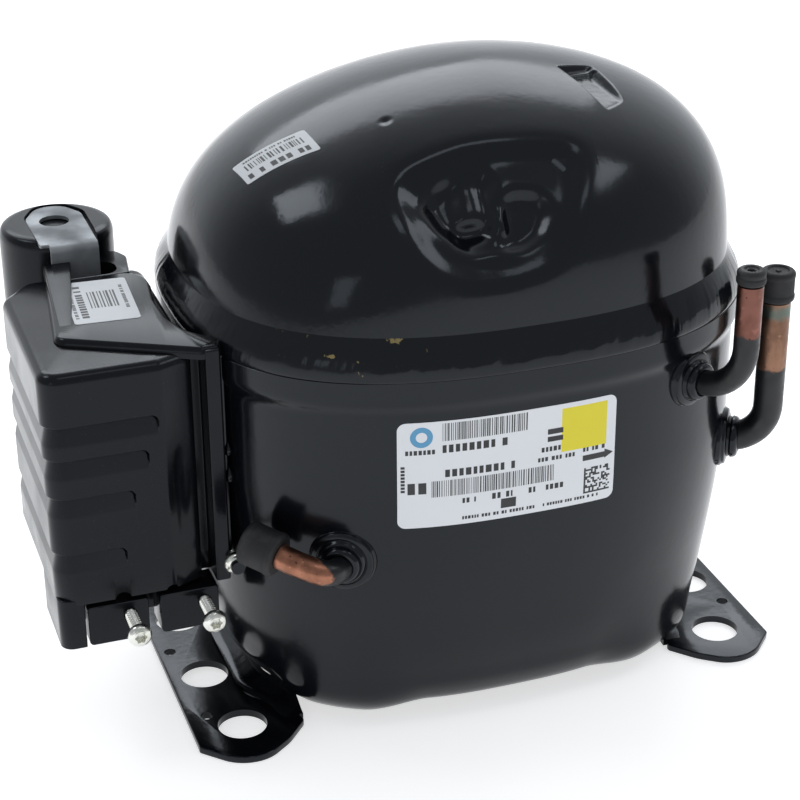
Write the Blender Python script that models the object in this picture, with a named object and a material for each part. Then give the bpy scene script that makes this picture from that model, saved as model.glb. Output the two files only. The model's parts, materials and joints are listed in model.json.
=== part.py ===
"""Hermetic reciprocating compressor: a welded steel shell on two foot plates, with its terminal box,
capacitor and pipe stubs outside, and the sprung motor and single-cylinder pump inside.

Run with: blender --background --python part.py
Points are written in millimetres in the shell's own frame: x to the right (towards the suction side),
y to the back, z up from the underside of the feet, with the crankshaft on x = y = 0.
metres() turns them into the part's frame, whose origin is the middle of the base of the whole part.
"""
import bpy
import bmesh
from math import pi, sin, cos, sqrt, asin, radians
from mathutils import Vector, Matrix

MM = 0.001
GAP = 0.3                       # clearance between pieces that touch
CENTRE = (-18.78, -5.44)        # middle of the whole part, in the shell's frame

# --- driving dimensions ---------------------------------------------------------------------
FOOT_T = 2.5                    # foot plate thickness
FOOT_HOLES = ((85.0, 50.8), (89.5, 18.4), (89.5, -18.4), (85.0, -50.8))
FOOT_HOLE_R = 8.0               # for 16 mm grommets
SMALL_HOLES, SMALL_HOLE_R = ((96.5, 35.0), (96.5, -35.0)), 2.0

SHELL_X = 3.0                   # the shell's own centre
SHELL_A, SHELL_B = 92.0, 80.0   # half length and half width of the shell's wall
SHELL_N = 2.6                   # squareness of the shell's plan
WALL = 3.0
FLOOR_Z = 5.5                   # underside of the lower shell
LOBE_DROP = 4.0                 # how far the four spring pockets hang below it
EDGE_R = 14.0                   # radius between wall and floor
TAPER, TAPER_TOP = 8.5, 87.5    # the wall draws in by TAPER below TAPER_TOP
LIP_Z0, LIP_Z1 = 121.5, 129.5   # the flared lip that the dome stands in
DOME_Z0, DOME_Z1 = 137.0, 202.5
DOME_A, DOME_B = 89.6, 78.0
DOME_P, DOME_Q = 2.94, 1.72     # fullness of the dome's profile
DOME_LEAN = (13.0, -2.3)        # the crown sits off centre, over the cylinder head

BORE_R = 13.5
CRANK_R = 6.6                   # half the 13.2 mm stroke
ROD_L = 40.0
CYL_Z = 150.5                   # height of the cylinder's axis
SHAFT_R = 9.5
CRANKPIN_R = 7.0
WRIST_R = 4.0
OPEN_PIVOT = 1.15               # radial clearance of the small end, where the linkage is opened
SMALL_END_X = sqrt(ROD_L ** 2 - CRANK_R ** 2)
STATOR_HALF, STATOR_Z0, STATOR_Z1 = 56.0, 46.0, 92.0

BOX_X0, BOX_X1 = -139.8, -96.0  # terminal box
BOX_Y0, BOX_Y1 = -45.0, 30.5
BOX_Z0, BOX_Z1 = 54.0, 132.5
BOX_RIM = 2.2                   # the raised part of its top
CAP_X, CAP_Y, CAP_R = -115.3, 53.0, 18.8
CAP_TOP = 140.8

for old in list(bpy.data.objects):
    bpy.data.objects.remove(old, do_unlink=True)


# --- tools ----------------------------------------------------------------------------------
def metres(p):
    return Vector(((p[0] - CENTRE[0]) * MM, (p[1] - CENTRE[1]) * MM, p[2] * MM))


def material(name, colour, rough, metal=0.0):
    mat = bpy.data.materials.new(name)
    mat.use_nodes = True
    bsdf = mat.node_tree.nodes["Principled BSDF"]
    bsdf.inputs["Base Color"].default_value = (*colour, 1.0)
    bsdf.inputs["Roughness"].default_value = rough
    bsdf.inputs["Metallic"].default_value = metal
    return mat


COLOURS = {
    "paint": ((0.012, 0.013, 0.016), 0.22, 0.0), "plastic": ((0.02, 0.021, 0.024), 0.42, 0.0),
    "rubber": ((0.015, 0.015, 0.016), 0.7, 0.0), "copper": ((0.62, 0.28, 0.16), 0.35, 1.0),
    "steel": ((0.55, 0.55, 0.54), 0.35, 1.0), "zinc": ((0.72, 0.71, 0.62), 0.3, 1.0),
    "iron": ((0.2, 0.2, 0.2), 0.6, 0.6), "aluminium": ((0.7, 0.7, 0.7), 0.4, 1.0),
    "winding": ((0.55, 0.22, 0.08), 0.4, 0.6), "glass": ((0.2, 0.3, 0.25), 0.1, 0.0),
    "nylon": ((0.75, 0.73, 0.66), 0.5, 0.0), "gasket": ((0.25, 0.28, 0.24), 0.8, 0.0),
}


def face_out(bm):
    bmesh.ops.remove_doubles(bm, verts=bm.verts, dist=1e-6)
    bmesh.ops.recalc_face_normals(bm, faces=bm.faces)
    if bm.calc_volume(signed=True) < 0:
        bmesh.ops.reverse_faces(bm, faces=bm.faces)


def node(name, bm, kind, at=None, parent=None):
    """Turn a bmesh in the part's frame into an object. `at` puts its origin on a joint's axis."""
    face_out(bm)
    origin = metres(at) if at else Vector((0, 0, 0))
    bmesh.ops.translate(bm, verts=bm.verts, vec=-origin)
    mesh = bpy.data.meshes.new(name)
    bm.to_mesh(mesh)
    bm.free()
    mesh.materials.append(material(name, *COLOURS[kind]))
    mesh.shade_smooth()
    mesh.set_sharp_from_angle(angle=radians(35))
    ob = bpy.data.objects.new(name, mesh)
    bpy.context.scene.collection.objects.link(ob)
    ob.location = origin
    if parent:
        ob.parent = parent
        ob.location = origin - parent.location
    return ob


def pivot(name, at):
    ob = bpy.data.objects.new(name, None)
    ob.location = metres(at)
    bpy.context.scene.collection.objects.link(ob)
    return ob


def skin(rings, loop=False):
    """Join rings of equal count. A loop closes on itself; otherwise the two ends are capped."""
    bm = bmesh.new()
    rows = [[bm.verts.new(metres(p)) for p in ring] for ring in rings]
    count = len(rows[0])
    pairs = list(zip(rows, rows[1:])) + ([(rows[-1], rows[0])] if loop else [])
    for low, high in pairs:
        for i in range(count):
            j = (i + 1) % count
            bm.faces.new((low[i], low[j], high[j], high[i]))
    if not loop:
        bm.faces.new(rows[0])
        bm.faces.new(rows[-1])
    return bm


def frame_along(axis):
    """A point and two directions across an axis."""
    axis = Vector(axis).normalized()
    side = Vector((0, 0, 1)).cross(axis)
    side = Vector((1, 0, 0)) if side.length < 1e-6 else side.normalized()
    return axis, side, axis.cross(side)


def lathe(profile, at, axis=(0, 0, 1), count=24, ring=False):
    """Turn (radius, height) pairs about an axis through `at`. A ring's profile closes on itself."""
    axis, u, v = frame_along(axis)
    rings = []
    for r, h in profile:
        turn = [2 * pi * i / count for i in range(count)]
        rings.append([Vector(at) + axis * h + (u * cos(t) + v * sin(t)) * r for t in turn])
    return skin(rings, loop=ring)


def prism(outline, lo, hi, plane="XY"):
    """Extrude an outline along the axis that its plane leaves out."""
    place = {"XY": lambda a, b, c: (a, b, c), "XZ": lambda a, b, c: (a, c, b),
             "YZ": lambda a, b, c: (c, a, b)}[plane]
    return skin([[place(a, b, c) for a, b in outline] for c in (lo, hi)])


def box(x0, x1, y0, y1, z0, z1):
    return prism([(x0, y0), (x1, y0), (x1, y1), (x0, y1)], z0, z1)


def rounded(outline, radii, steps=4):
    """Round the corners of an outline, one radius for each point."""
    points = []
    for i, (corner, r) in enumerate(zip(outline, radii)):
        p = Vector(corner)
        if r <= 0:
            points.append(tuple(p))
            continue
        back = (Vector(outline[i - 1]) - p).normalized()
        on = (Vector(outline[(i + 1) % len(outline)]) - p).normalized()
        reach = r * sqrt((1 + back.dot(on)) / (1 - back.dot(on)))
        a, b = p + back * reach, p + on * reach
        for k in range(steps + 1):
            s = k / steps
            points.append(tuple(a * (1 - s) ** 2 + p * 2 * s * (1 - s) + b * s ** 2))
    return points


def sweep(path, radius, count=12, bore=None):
    """A round tube along a path; with a bore it is open from end to end."""
    pts = [Vector(p) for p in path]
    tangents = [(pts[min(i + 1, len(pts) - 1)] - pts[max(i - 1, 0)]).normalized() for i in range(len(pts))]
    side = frame_along(tangents[0])[1]
    frames = []
    for t in tangents:
        side = (side - t * side.dot(t)).normalized()
        frames.append((side, t.cross(side)))

    def rings(r):
        return [[p + (u * cos(2 * pi * i / count) + v * sin(2 * pi * i / count)) * r for i in range(count)]
                for p, (u, v) in zip(pts, frames)]
    if bore is None:
        return skin(rings(radius))
    return skin(rings(radius) + rings(bore)[::-1], loop=True)


def curve_through(points, steps=8):
    """A smooth path through points (Catmull-Rom)."""
    p = [Vector(points[0]) * 2 - Vector(points[1])] + [Vector(q) for q in points]
    p.append(Vector(points[-1]) * 2 - Vector(points[-2]))
    path = []
    for i in range(1, len(p) - 2):
        for k in range(steps):
            s = k / steps
            path.append(0.5 * (2 * p[i] + (p[i + 1] - p[i - 1]) * s
                               + (2 * p[i - 1] - 5 * p[i] + 4 * p[i + 1] - p[i + 2]) * s * s
                               + (3 * p[i] - p[i - 1] - 3 * p[i + 1] + p[i + 2]) * s ** 3))
    return path + [p[-2]]


def temporary(bm):
    face_out(bm)
    mesh = bpy.data.meshes.new("tmp")
    bm.to_mesh(mesh)
    bm.free()
    ob = bpy.data.objects.new("tmp", mesh)
    bpy.context.scene.collection.objects.link(ob)
    return ob


def combine(base, others, how="DIFFERENCE"):
    """Cut other bmeshes out of a base bmesh, or join them to it, and return the result."""
    work = temporary(base)
    tools = [temporary(bm) for bm in others]
    for tool in tools:
        mod = work.modifiers.new("shape", "BOOLEAN")
        mod.operation, mod.solver, mod.object = how, "EXACT", tool
    bpy.context.view_layer.update()
    mesh = bpy.data.meshes.new_from_object(work.evaluated_get(bpy.context.evaluated_depsgraph_get()))
    for ob in [work] + tools:
        bpy.data.objects.remove(ob, do_unlink=True)
    out = bmesh.new()
    out.from_mesh(mesh)
    return out


def cylinder(at, axis, r, h0, h1, count=20):
    return lathe([(r, h0), (r, h1)], at, axis, count)


# --- shell ----------------------------------------------------------------------------------
def superellipse(a, b, n, z, count=40, x=SHELL_X):
    ring = []
    for i in range(count):
        t = 2 * pi * i / count
        c, s = cos(t), sin(t)
        ring.append((x + a * abs(c) ** (2 / n) * (1 if c >= 0 else -1),
                     b * abs(s) ** (2 / n) * (1 if s >= 0 else -1), z))
    return ring


def wall_a(z):
    """Half length of the lower shell's outside at a height."""
    return SHELL_A - TAPER * (max(0.0, TAPER_TOP - z) / (TAPER_TOP - 10.5)) ** 1.5


def corner(i, count):
    return abs(sin(4 * pi * i / count)) ** 3


def lower_rings(inset, count=40):
    """Rings from the middle of the floor, round the edge and up the wall, `inset` inside the outside."""
    rings = []
    floor, side = FLOOR_Z + inset, SHELL_B - SHELL_A
    edge_z = FLOOR_Z + EDGE_R
    a_edge = wall_a(edge_z)
    for k in [0.0, 0.0, 0.25, 0.5, 0.75, 1.0]:
        lean = pi / 2 * k
        a = a_edge - EDGE_R + (EDGE_R - inset) * sin(lean)
        if not rings:
            a -= 30
        z = edge_z - (EDGE_R - inset) * cos(lean)
        ring = superellipse(a, a + side, SHELL_N, z, count)
        drop = 0.25 if not rings else 1.0
        rings.append([(x, y, z - LOBE_DROP * drop * corner(i, count) * (1 - k) ** 0.5)
                      for i, (x, y, z) in enumerate(ring)])
    for z in (34.0, 56.0, TAPER_TOP, 112.0):
        a = wall_a(z) - inset
        rings.append(superellipse(a, a + side, SHELL_N, z, count))
    return rings


def ring_at(a, z):
    return superellipse(a, a + SHELL_B - SHELL_A, SHELL_N, z)


def lip_bore(z):
    return superellipse(DOME_A + GAP, DOME_B + GAP, SHELL_N, z)


outer = lower_rings(0.0) + [ring_at(SHELL_A - 0.6, 118.0), ring_at(SHELL_A - 0.2, 120.6),
                            ring_at(SHELL_A + 1.2, LIP_Z0 + 1.5), ring_at(SHELL_A + 1.5, LIP_Z1)]
inner = lower_rings(WALL) + [ring_at(SHELL_A - WALL, 120.0), lip_bore(121.8), lip_bore(LIP_Z1)]
shell_bm = skin(outer + inner[::-1])

# pipes: where each leaves the wall, which way the wall faces there, and how far out the pipe turns
def on_wall(side, y, z):
    """A point on the lower shell's outside and the way the wall faces there."""
    a, n = wall_a(z), SHELL_N
    b = a + SHELL_B - SHELL_A
    x = a * (1 - abs(y / b) ** n) ** (1 / n)
    out = Vector((side * (x / a) ** (n - 1) / a, abs(y / b) ** (n - 1) / b * (1 if y > 0 else -1), 0))
    return dict(at=(SHELL_X + side * x, y, z), out=out.normalized())


SUCTION = on_wall(1, -48.8, 77.4)
PROCESS = on_wall(1, -70.5, 112.3)
DISCHARGE = on_wall(-1, -68.3, 68.2)
SUCTION_R, PROCESS_R, DISCHARGE_R = 4.8, 4.0, 4.0
TERMINAL = (-89.0, -6.0, 94.0)
TERMINAL_R = 15.0

port_cuts = []
for port, r in ((SUCTION, SUCTION_R), (PROCESS, PROCESS_R), (DISCHARGE, DISCHARGE_R)):
    port_cuts.append(cylinder(port["at"], port["out"], r + GAP, -12, 6, 12))
port_cuts.append(cylinder(TERMINAL, (-1, 0, 0), TERMINAL_R + GAP, -10, 10, 16))
shell_bm = combine(shell_bm, port_cuts)
SPRINGS = [(sx * 46.0, sy * 45.0) for sx in (-1, 1) for sy in (-1, 1)]
SPRING_R, SPRING_WIRE, SPRING_Z0 = 7.0, 1.1, 18.0
seat_profile = [(9.3, 6.0), (9.3, SPRING_Z0 - 1.5), (5.2, SPRING_Z0 - 1.5), (4.6, SPRING_Z0 + 7)]
seats = [lathe(seat_profile, (x, y, 0), count=10) for x, y in SPRINGS]
shell_bm = combine(shell_bm, seats, "UNION")
node("lower_shell", shell_bm, "paint")


def dome_rings(inset, count=40):
    rings = []
    top = DOME_Z1 - inset
    for s in (0.0, 0.28, 0.52, 0.72, 0.87, 0.96, 0.998):
        z = DOME_Z0 + (top - DOME_Z0) * s
        r = (1 - s ** DOME_P) ** (1 / DOME_Q)
        n = SHELL_N - (SHELL_N - 1.9) * s ** 0.7
        lean = s ** 1.5
        rings.append([(x + DOME_LEAN[0] * lean, y + DOME_LEAN[1] * lean, z) for x, y, z in
                      superellipse((DOME_A - inset) * r, (DOME_B - inset) * r, n, z, count)])
    return rings


skirt_out = [superellipse(DOME_A, DOME_B, SHELL_N, z) for z in (122.2, 129.5)]
skirt_in = [superellipse(DOME_A - WALL, DOME_B - WALL, SHELL_N, z) for z in (122.2, 129.5)]
node("upper_shell", skin(dome_rings(WALL)[::-1] + skirt_in[::-1] + skirt_out + dome_rings(0.0)), "paint")

bead = [(0.0, 0.0), (3.3, 0.0), (3.6, 2.4), (2.2, 6.0), (0.0, 7.2)]
node("weld_bead", skin([superellipse(DOME_A + GAP + d, DOME_B + GAP + d, SHELL_N, LIP_Z1 + GAP + h)
                        for d, h in bead], loop=True), "paint")


# --- feet -----------------------------------------------------------------------------------
def foot(name, side, ear_y, ear_out):
    """A pressed plate with four grommet holes, turned up at two ears to the shell's wall."""
    half = [(101.5, 58.5), (99.0, 63.5), (94.0, 67.5), (87.0, 69.0), (79.5, 68.0), (73.0, 63.5),
            (66.5, 58.0), (67.5, 48.0), (74.5, 40.0), (80.0, 30.0)]
    outline = [(side * x, y) for x, y in half] + [(side * x, -y) for x, y in half[::-1]]
    plate = prism(outline, 0.0, FOOT_T)
    ears = []
    for sy in (-1, 1):
        rail = [(67.5, 1.2), (66.6, 2.4), (68.6, 5.4), (72.2, 10.0), (76.0, 16.0), (77.8, 16.0),
                (76.4, 10.0), (75.8, 5.6), (77.5, 2.3), (77.5, 1.2)]
        ears.append(prism([(side * (x + ear_out), z) for x, z in rail], sy * ear_y[0], sy * ear_y[1], "XZ"))
    plate = combine(plate, ears, "UNION")
    holes = [cylinder((side * x, y, 0), (0, 0, 1), FOOT_HOLE_R, -3, 6, 18) for x, y in FOOT_HOLES]
    holes += [cylinder((side * x, y, 0), (0, 0, 1), SMALL_HOLE_R, -3, 6, 8) for x, y in SMALL_HOLES]
    node(name, combine(plate, holes), "paint")


foot("left_foot", -1, (42.0, 60.0), 0.0)
foot("right_foot", 1, (28.5, 41.5), 10.0)


# --- pipe stubs -----------------------------------------------------------------------------
def elbow(port, reach, bend, top):
    """Out of the wall, round a bend and straight up."""
    at, out = Vector(port["at"]), Vector(port["out"]).normalized()
    path = [at - out * 9, at + out * (reach - bend) * 0.5, at + out * (reach - bend)]
    for k in range(1, 5):
        t = pi / 2 * k / 4
        path.append(at + out * (reach - bend + bend * sin(t)) + Vector((0, 0, bend * (1 - cos(t)))))
    end = path[-1]
    return path + [Vector((end.x, end.y, top))]


def collar(name, port, r_pipe, r_out):
    bore = r_pipe + 2 * GAP
    profile = [(bore, 0.5), (r_out, 0.5), (r_out, 1.5), (r_out - 2.2, 2.0), (r_out - 2.4, 3.1),
               (r_pipe + 2.0, 3.5), (r_pipe + 1.6, 5.5), (bore, 5.5)]
    node(name, lathe(profile, port["at"], port["out"], 16, ring=True), "paint")


def stopper(name, at, axis, bore, r_head, length):
    stem = bore - 0.6
    profile = [(stem * 0.7, -5), (stem, -4), (stem, 0.4), (r_head, 0.4), (r_head, length - 3.4),
               (r_head - 0.7, length - 2.8), (r_head - 0.7, length - 1.2), (r_head - 2.6, length - 0.8),
               (r_head - 3.0, length)]
    node(name, lathe(profile, at, axis, 12), "rubber")


suction_path = elbow(SUCTION, 15.5, 10.5, 127.8)
node("suction_pipe", sweep(suction_path, SUCTION_R, 10, SUCTION_R - 0.9), "copper")
collar("suction_collar", SUCTION, SUCTION_R, 9.5)
stopper("suction_plug", suction_path[-1], (0, 0, 1), SUCTION_R - 0.9, 5.5, 11.0)

process_path = elbow(PROCESS, 20.0, 11.0, 150.0)
node("process_pipe", sweep(process_path, PROCESS_R, 10, PROCESS_R - 0.8), "copper")
collar("process_collar", PROCESS, PROCESS_R, 8.8)
stopper("process_plug", process_path[-1], (0, 0, 1), PROCESS_R - 0.8, 4.3, 7.5)

spot, away = Vector(DISCHARGE["at"]), Vector(DISCHARGE["out"]).normalized()
discharge_path = curve_through([spot - away * 9, spot, spot + away * 6.5, (-64.0, -76.5, 69.0),
                                (-70.5, -73.0, 70.0), (-76.5, -67.3, 71.0)], 2)
node("discharge_pipe", sweep(discharge_path, DISCHARGE_R, 10, DISCHARGE_R - 0.8), "copper")
collar("discharge_collar", DISCHARGE, DISCHARGE_R, 10.0)
discharge_end = Vector(discharge_path[-1])
stopper("discharge_plug", discharge_end, discharge_end - Vector(discharge_path[-2]),
        DISCHARGE_R - 0.8, 6.6, 13.0)


# --- hermetic terminal and guard --------------------------------------------------------------
cup = [(TERMINAL_R, 0.0), (TERMINAL_R, -3.0), (13.0, -4.5), (13.0, -6.0), (11.6, -6.0), (11.6, 1.6),
       (13.6, 2.6), (17.5, 2.6), (17.5, 1.2), (TERMINAL_R, 1.2)]
cup_bm = lathe([(r, -h) for r, h in cup], TERMINAL, (1, 0, 0), 16, ring=True)
floor_bm = lathe([(11.9, -0.8), (11.9, 0.8)], TERMINAL, (-1, 0, 0), 16)
PINS = {"common_pin": (0.0, 5.6), "start_pin": (4.9, -2.8), "run_pin": (-4.9, -2.8)}
PIN_R = 1.6


def on_pin(y, z, r, h0, h1, count):
    """A cylinder along the axis of a pin, which stands y and z off the middle of the header."""
    return cylinder((TERMINAL[0], TERMINAL[1] + y, TERMINAL[2] + z), (-1, 0, 0), r, h0, h1, count)


pin_holes = [on_pin(y, z, PIN_R + GAP, -5, 5, 8) for y, z in PINS.values()]
node("terminal_header", combine(combine(cup_bm, [floor_bm], "UNION"), pin_holes), "steel")
for name, (y, z) in PINS.items():
    node(name, on_pin(y, z, PIN_R, -9, 11, 10), "steel")

# a bent ear at the front of the box takes the cover's screw
COVER_SCREW = (-84.9, 59.9)     # x and z of its axis
EAR_Y = -43.5
SCREW_HOLE_R = 2.2
ear = prism([(-91.0, 56.0), (-82.6, 55.5), (-80.9, 59.0), (-80.9, 65.0), (-84.0, 66.5), (-91.0, 62.5)],
            EAR_Y, EAR_Y + 1.5, "XZ")
leg = prism([(-84.0, EAR_Y + 1.0), (-81.2, EAR_Y + 1.0), (-83.6, -36.8), (-85.6, -36.8)], 56.5, 65.5)
ear = combine(ear, [leg], "UNION")
ear_hole = cylinder((COVER_SCREW[0], EAR_Y, COVER_SCREW[1]), (0, 1, 0), SCREW_HOLE_R, -5, 12)
node("guard_bracket", combine(ear, [ear_hole]), "paint")

# --- terminal box -----------------------------------------------------------------------------
COVER_WALL = 2.2
RIM_Z = BOX_Z1 + BOX_RIM
plan = rounded([(BOX_X0, BOX_Y0), (-103.0, BOX_Y0), (-91.8, -42.2), (-88.5, -38.0), (-94.0, -25.0),
                (-97.0, -17.0), (BOX_X1, BOX_Y1), (BOX_X0, BOX_Y1)], [7, 6, 2, 1, 3, 3, 5, 9])
HOLLOW_X0, HOLLOW_Y0, HOLLOW_Y1 = BOX_X0 + COVER_WALL, BOX_Y0 + COVER_WALL, BOX_Y1 - COVER_WALL
hollow = rounded([(HOLLOW_X0, HOLLOW_Y0), (-103.5, HOLLOW_Y0), (-93.4, -40.0), (-93.4, -33.0),
                  (-80.0, -33.0), (-80.0, HOLLOW_Y1), (HOLLOW_X0, HOLLOW_Y1)], [5, 4, 0, 0, 0, 0, 7])
cover = prism(plan, BOX_Z0, BOX_Z1)
deck = prism(rounded([(-127.6, BOX_Y1 - 0.5), (-129.8, -22.5), (-88.7, -41.0), (-88.6, -38.0), (-94.0, -25.3),
                      (-97.0, -17.0), (BOX_X1 - 0.5, BOX_Y1 - 0.5)], [0, 6, 0, 0, 3, 3, 4]),
             BOX_Z1 - 1.0, RIM_Z)
flange = prism([(-89.6, -37.0), (-89.6, -45.0), (-84.9, -45.0), (-84.9, -41.0), (-87.2, -37.0)], 72.0, RIM_Z)
skirt = prism([(BOX_X0, -36.0), (BOX_X0, BOX_Y0 + 2.0), (BOX_X0 + 2.0, BOX_Y0), (-135.7, BOX_Y0),
               (-135.7, BOX_Y0 + 2.4), (-137.5, BOX_Y0 + 2.4), (-137.5, -20.0), (BOX_X0, -20.0)],
              38.5, BOX_Z0 + 1.0)
HOLDER_Z0 = 108.0
holder = prism(rounded([(-123.5, BOX_Y1 - 1.0), (-97.0, BOX_Y1 - 1.0), (-96.6, 37.0), (-99.8, 41.5),
                        (-104.0, 36.8), (-112.0, 33.7), (-123.5, 34.8)], [0, 0, 4, 3, 4, 2, 0]),
               HOLDER_Z0, RIM_Z - 0.4)
cover = combine(cover, [deck, flange, skirt, holder], "UNION")
slot = box(-121.6, -99.6, 30.8, 33.1, 104.0, 140.0)
cover = combine(cover, [prism(hollow, BOX_Z0 - 5, BOX_Z1 - COVER_WALL), slot])
GROOVE_TALL, GROOVE_IN = 3.0, 0.9
grooves = []
for z, x_end in ((116.0, -105.0), (104.0, -108.0), (92.0, -112.0), (71.8, -117.4)):
    lip_out = [(x_end, BOX_Y0 - 3), (BOX_X0 - 3, BOX_Y0 - 3), (BOX_X0 - 3, 18.0),
               (BOX_X0 + GROOVE_IN, 18.0), (BOX_X0 + GROOVE_IN, BOX_Y0 + 4.6),
               (BOX_X0 + 4.6, BOX_Y0 + GROOVE_IN), (x_end, BOX_Y0 + GROOVE_IN)]
    grooves.append(prism(lip_out, z - GROOVE_TALL, z))
node("terminal_cover", combine(cover, grooves), "plastic")

# the base carries the electrics and, below, the cradle of the two cord clamps
BASE_X0, BASE_X1 = -95.4, -92.4
CRADLE_Y = -29.0
back = box(BASE_X0, BASE_X1, -32.0, HOLLOW_Y1 - GAP, 55.0, BOX_Z1 - COVER_WALL - GAP)
cradle = box(-134.5, BASE_X1, CRADLE_Y, -4.0, 39.0, 53.4)
bridge = box(BASE_X0, BASE_X1, CRADLE_Y, -4.0, 39.0, 60.0)
# each clamp: its left face, its right face, and the x of its screw
CLAMPS = {"left": (-131.0, -111.7, -117.6), "right": (-108.1, -89.2, -93.8)}
CLAMP_Z0, CLAMP_Z1, CLAMP_Z = 38.7, 52.5, 47.6
SCREW_OUT, SCREW_LONG = 11.6, 28.4     # the screws stand half undone
CORD_X = 5.4                    # middle of the cord, from the left face of its clamp
cuts = [cylinder(TERMINAL, (-1, 0, 0), 18.6, -10, 10, 24)]
for x0, x1, x_screw in CLAMPS.values():
    cuts.append(cylinder((x_screw, CRADLE_Y, CLAMP_Z), (0, 1, 0), SCREW_HOLE_R, -3, 20, 12))
    cuts.append(cylinder((x0 + CORD_X, CRADLE_Y, 38.0), (0, 0, 1), 3.6, -3, 30, 16))
node("box_base", combine(combine(back, [cradle, bridge], "UNION"), cuts), "plastic")

# relay and overload push on to the pins
PIN_X0 = TERMINAL[0] - 11.0
node("start_relay", box(PIN_X0 - 22, PIN_X0 - 1.0, -24.0, 13.0, 78.0, 100.0), "plastic")
node("overload_protector", lathe([(10.0, 0.0), (12.0, 1.5), (12.0, 14.0), (10.5, 15.5)],
                                 (PIN_X0 - 1.5, -6.0, 114.0), (-1, 0, 0), 24), "plastic")

# --- capacitor --------------------------------------------------------------------------------
node("start_capacitor", lathe([(15.8, 51.0), (16.4, 52.0), (16.4, 134.0), (15.0, 136.0)], (CAP_X, CAP_Y, 0)),
     "aluminium")
node("capacitor_cover", lathe([(17.0, 66.0), (CAP_R, 66.0), (CAP_R, CAP_TOP - 3.0),
                               (CAP_R - 1.0, CAP_TOP - 0.8), (CAP_R - 3.0, CAP_TOP),
                               (0.6, CAP_TOP), (0.6, 138.2), (17.0, 138.2)],
                              (CAP_X, CAP_Y, 0), count=24, ring=True), "plastic")
top_z = CAP_TOP + GAP
STRAP_Y0, STRAP_Y1 = 31.4, 32.6
strap_top = prism(rounded([(-105.3, STRAP_Y0), (-105.3, 62.0), (-109.0, 68.3), (-120.0, 68.3), (-124.4, 60.0),
                           (-124.0, STRAP_Y0)], [0, 6, 8, 8, 6, 2]), top_z, top_z + 1.2)
strap_leg = box(-121.0, -105.3, STRAP_Y0, STRAP_Y1, 110.0, top_z + 1.2)
strap = combine(strap_top, [strap_leg], "UNION")
strap = combine(strap, [cylinder((-115.4, 55.0, top_z), (0, 0, 1), 5.0, -2, 4, 20)])
node("capacitor_strap", strap, "steel")


# --- cord clamps and screws -------------------------------------------------------------------
def screw(name, tip, shank_r, head_r, length, head_h, parent=None, at=None):
    """A pan-head screw along +y, with a recess in its head. `tip` is the middle of its head's seat."""
    profile = [(shank_r * 0.6, length), (shank_r, length - 1.5), (shank_r, 0.0), (head_r, 0.0),
               (head_r, -head_h * 0.45), (head_r * 0.82, -head_h * 0.85), (head_r * 0.5, -head_h)]
    body = lathe(profile, tip, (0, 1, 0), 12)
    recess = [box(tip[0] - w, tip[0] + w, tip[1] - head_h - 1, tip[1] - head_h * 0.35,
                  tip[2] - h, tip[2] + h) for w, h in ((1.9, 0.5), (0.5, 1.9))]
    return node(name, combine(body, recess), "zinc", at=at, parent=parent)


screw("cover_screw", (COVER_SCREW[0], EAR_Y - GAP, COVER_SCREW[1]), 1.9, 3.8, 9.0, 2.8)
for side, (x0, x1, x_screw) in CLAMPS.items():
    centre = ((x0 + x1) / 2, (BOX_Y0 + CRADLE_Y) / 2, CLAMP_Z)
    holder_empty = pivot(side + "_clamp_slide", centre)
    block = box(x0, x1, BOX_Y0, CRADLE_Y - 4.5, CLAMP_Z0, CLAMP_Z1)
    hole = cylinder((x_screw, BOX_Y0, CLAMP_Z), (0, 1, 0), SCREW_HOLE_R, -3, 20, 12)
    saddle = cylinder((x0 + CORD_X, CRADLE_Y - 3.9, 38.0), (0, 0, 1), 3.4, -3, 30, 16)
    node(side + "_cord_clamp", combine(block, [hole, saddle]), "plastic", at=centre, parent=holder_empty)
    seat = (x_screw, BOX_Y0 - SCREW_OUT, CLAMP_Z)
    screw(side + "_clamp_screw", seat, 1.8, 3.8, SCREW_LONG, 2.8, at=seat)


# --- motor ------------------------------------------------------------------------------------
def spring(name, x, y):
    turns, per_turn, z1 = 4.5, 8, STATOR_Z0 - GAP
    steps = int(turns * per_turn)
    low, high = SPRING_Z0 + SPRING_WIRE - 0.6, z1 - SPRING_WIRE
    path = []
    for i in range(steps + 1):
        t, s = 2 * pi * i / per_turn, i / steps
        path.append((x + SPRING_R * cos(t), y + SPRING_R * sin(t), low + (high - low) * s))
    node(name, sweep(path, SPRING_WIRE, 4), "steel")


for label, (x, y) in zip(("front_left", "back_left", "front_right", "back_right"), SPRINGS):
    spring("spring_" + label, x, y)

CORNER = STATOR_HALF - 14.0     # where the stator's cut corners start
square = [(x * a, y * b) for x, y, a, b in (
    (-1, -1, CORNER, STATOR_HALF), (1, -1, CORNER, STATOR_HALF), (1, -1, STATOR_HALF, CORNER),
    (1, 1, STATOR_HALF, CORNER), (1, 1, CORNER, STATOR_HALF), (-1, 1, CORNER, STATOR_HALF),
    (-1, 1, STATOR_HALF, CORNER), (-1, -1, STATOR_HALF, CORNER))]
stator = prism(square, STATOR_Z0, STATOR_Z1)
stator = combine(stator, [cylinder((0, 0, 0), (0, 0, 1), 30.0, 30, 110, 48)])
node("stator_core", stator, "iron")
for name, z0, z1 in (("lower_winding", 27.0, STATOR_Z0 - GAP), ("upper_winding", STATOR_Z1 + GAP, 110.0)):
    m, h = (z0 + z1) / 2, (z1 - z0) / 2
    ring = [(38.5 + 7.0 * cos(t), m + h * sin(t))
            for t in [2 * pi * (k + 0.5) / 6 for k in range(6)]]
    node(name, lathe(ring, (0, 0, 0), count=24, ring=True), "winding")

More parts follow.
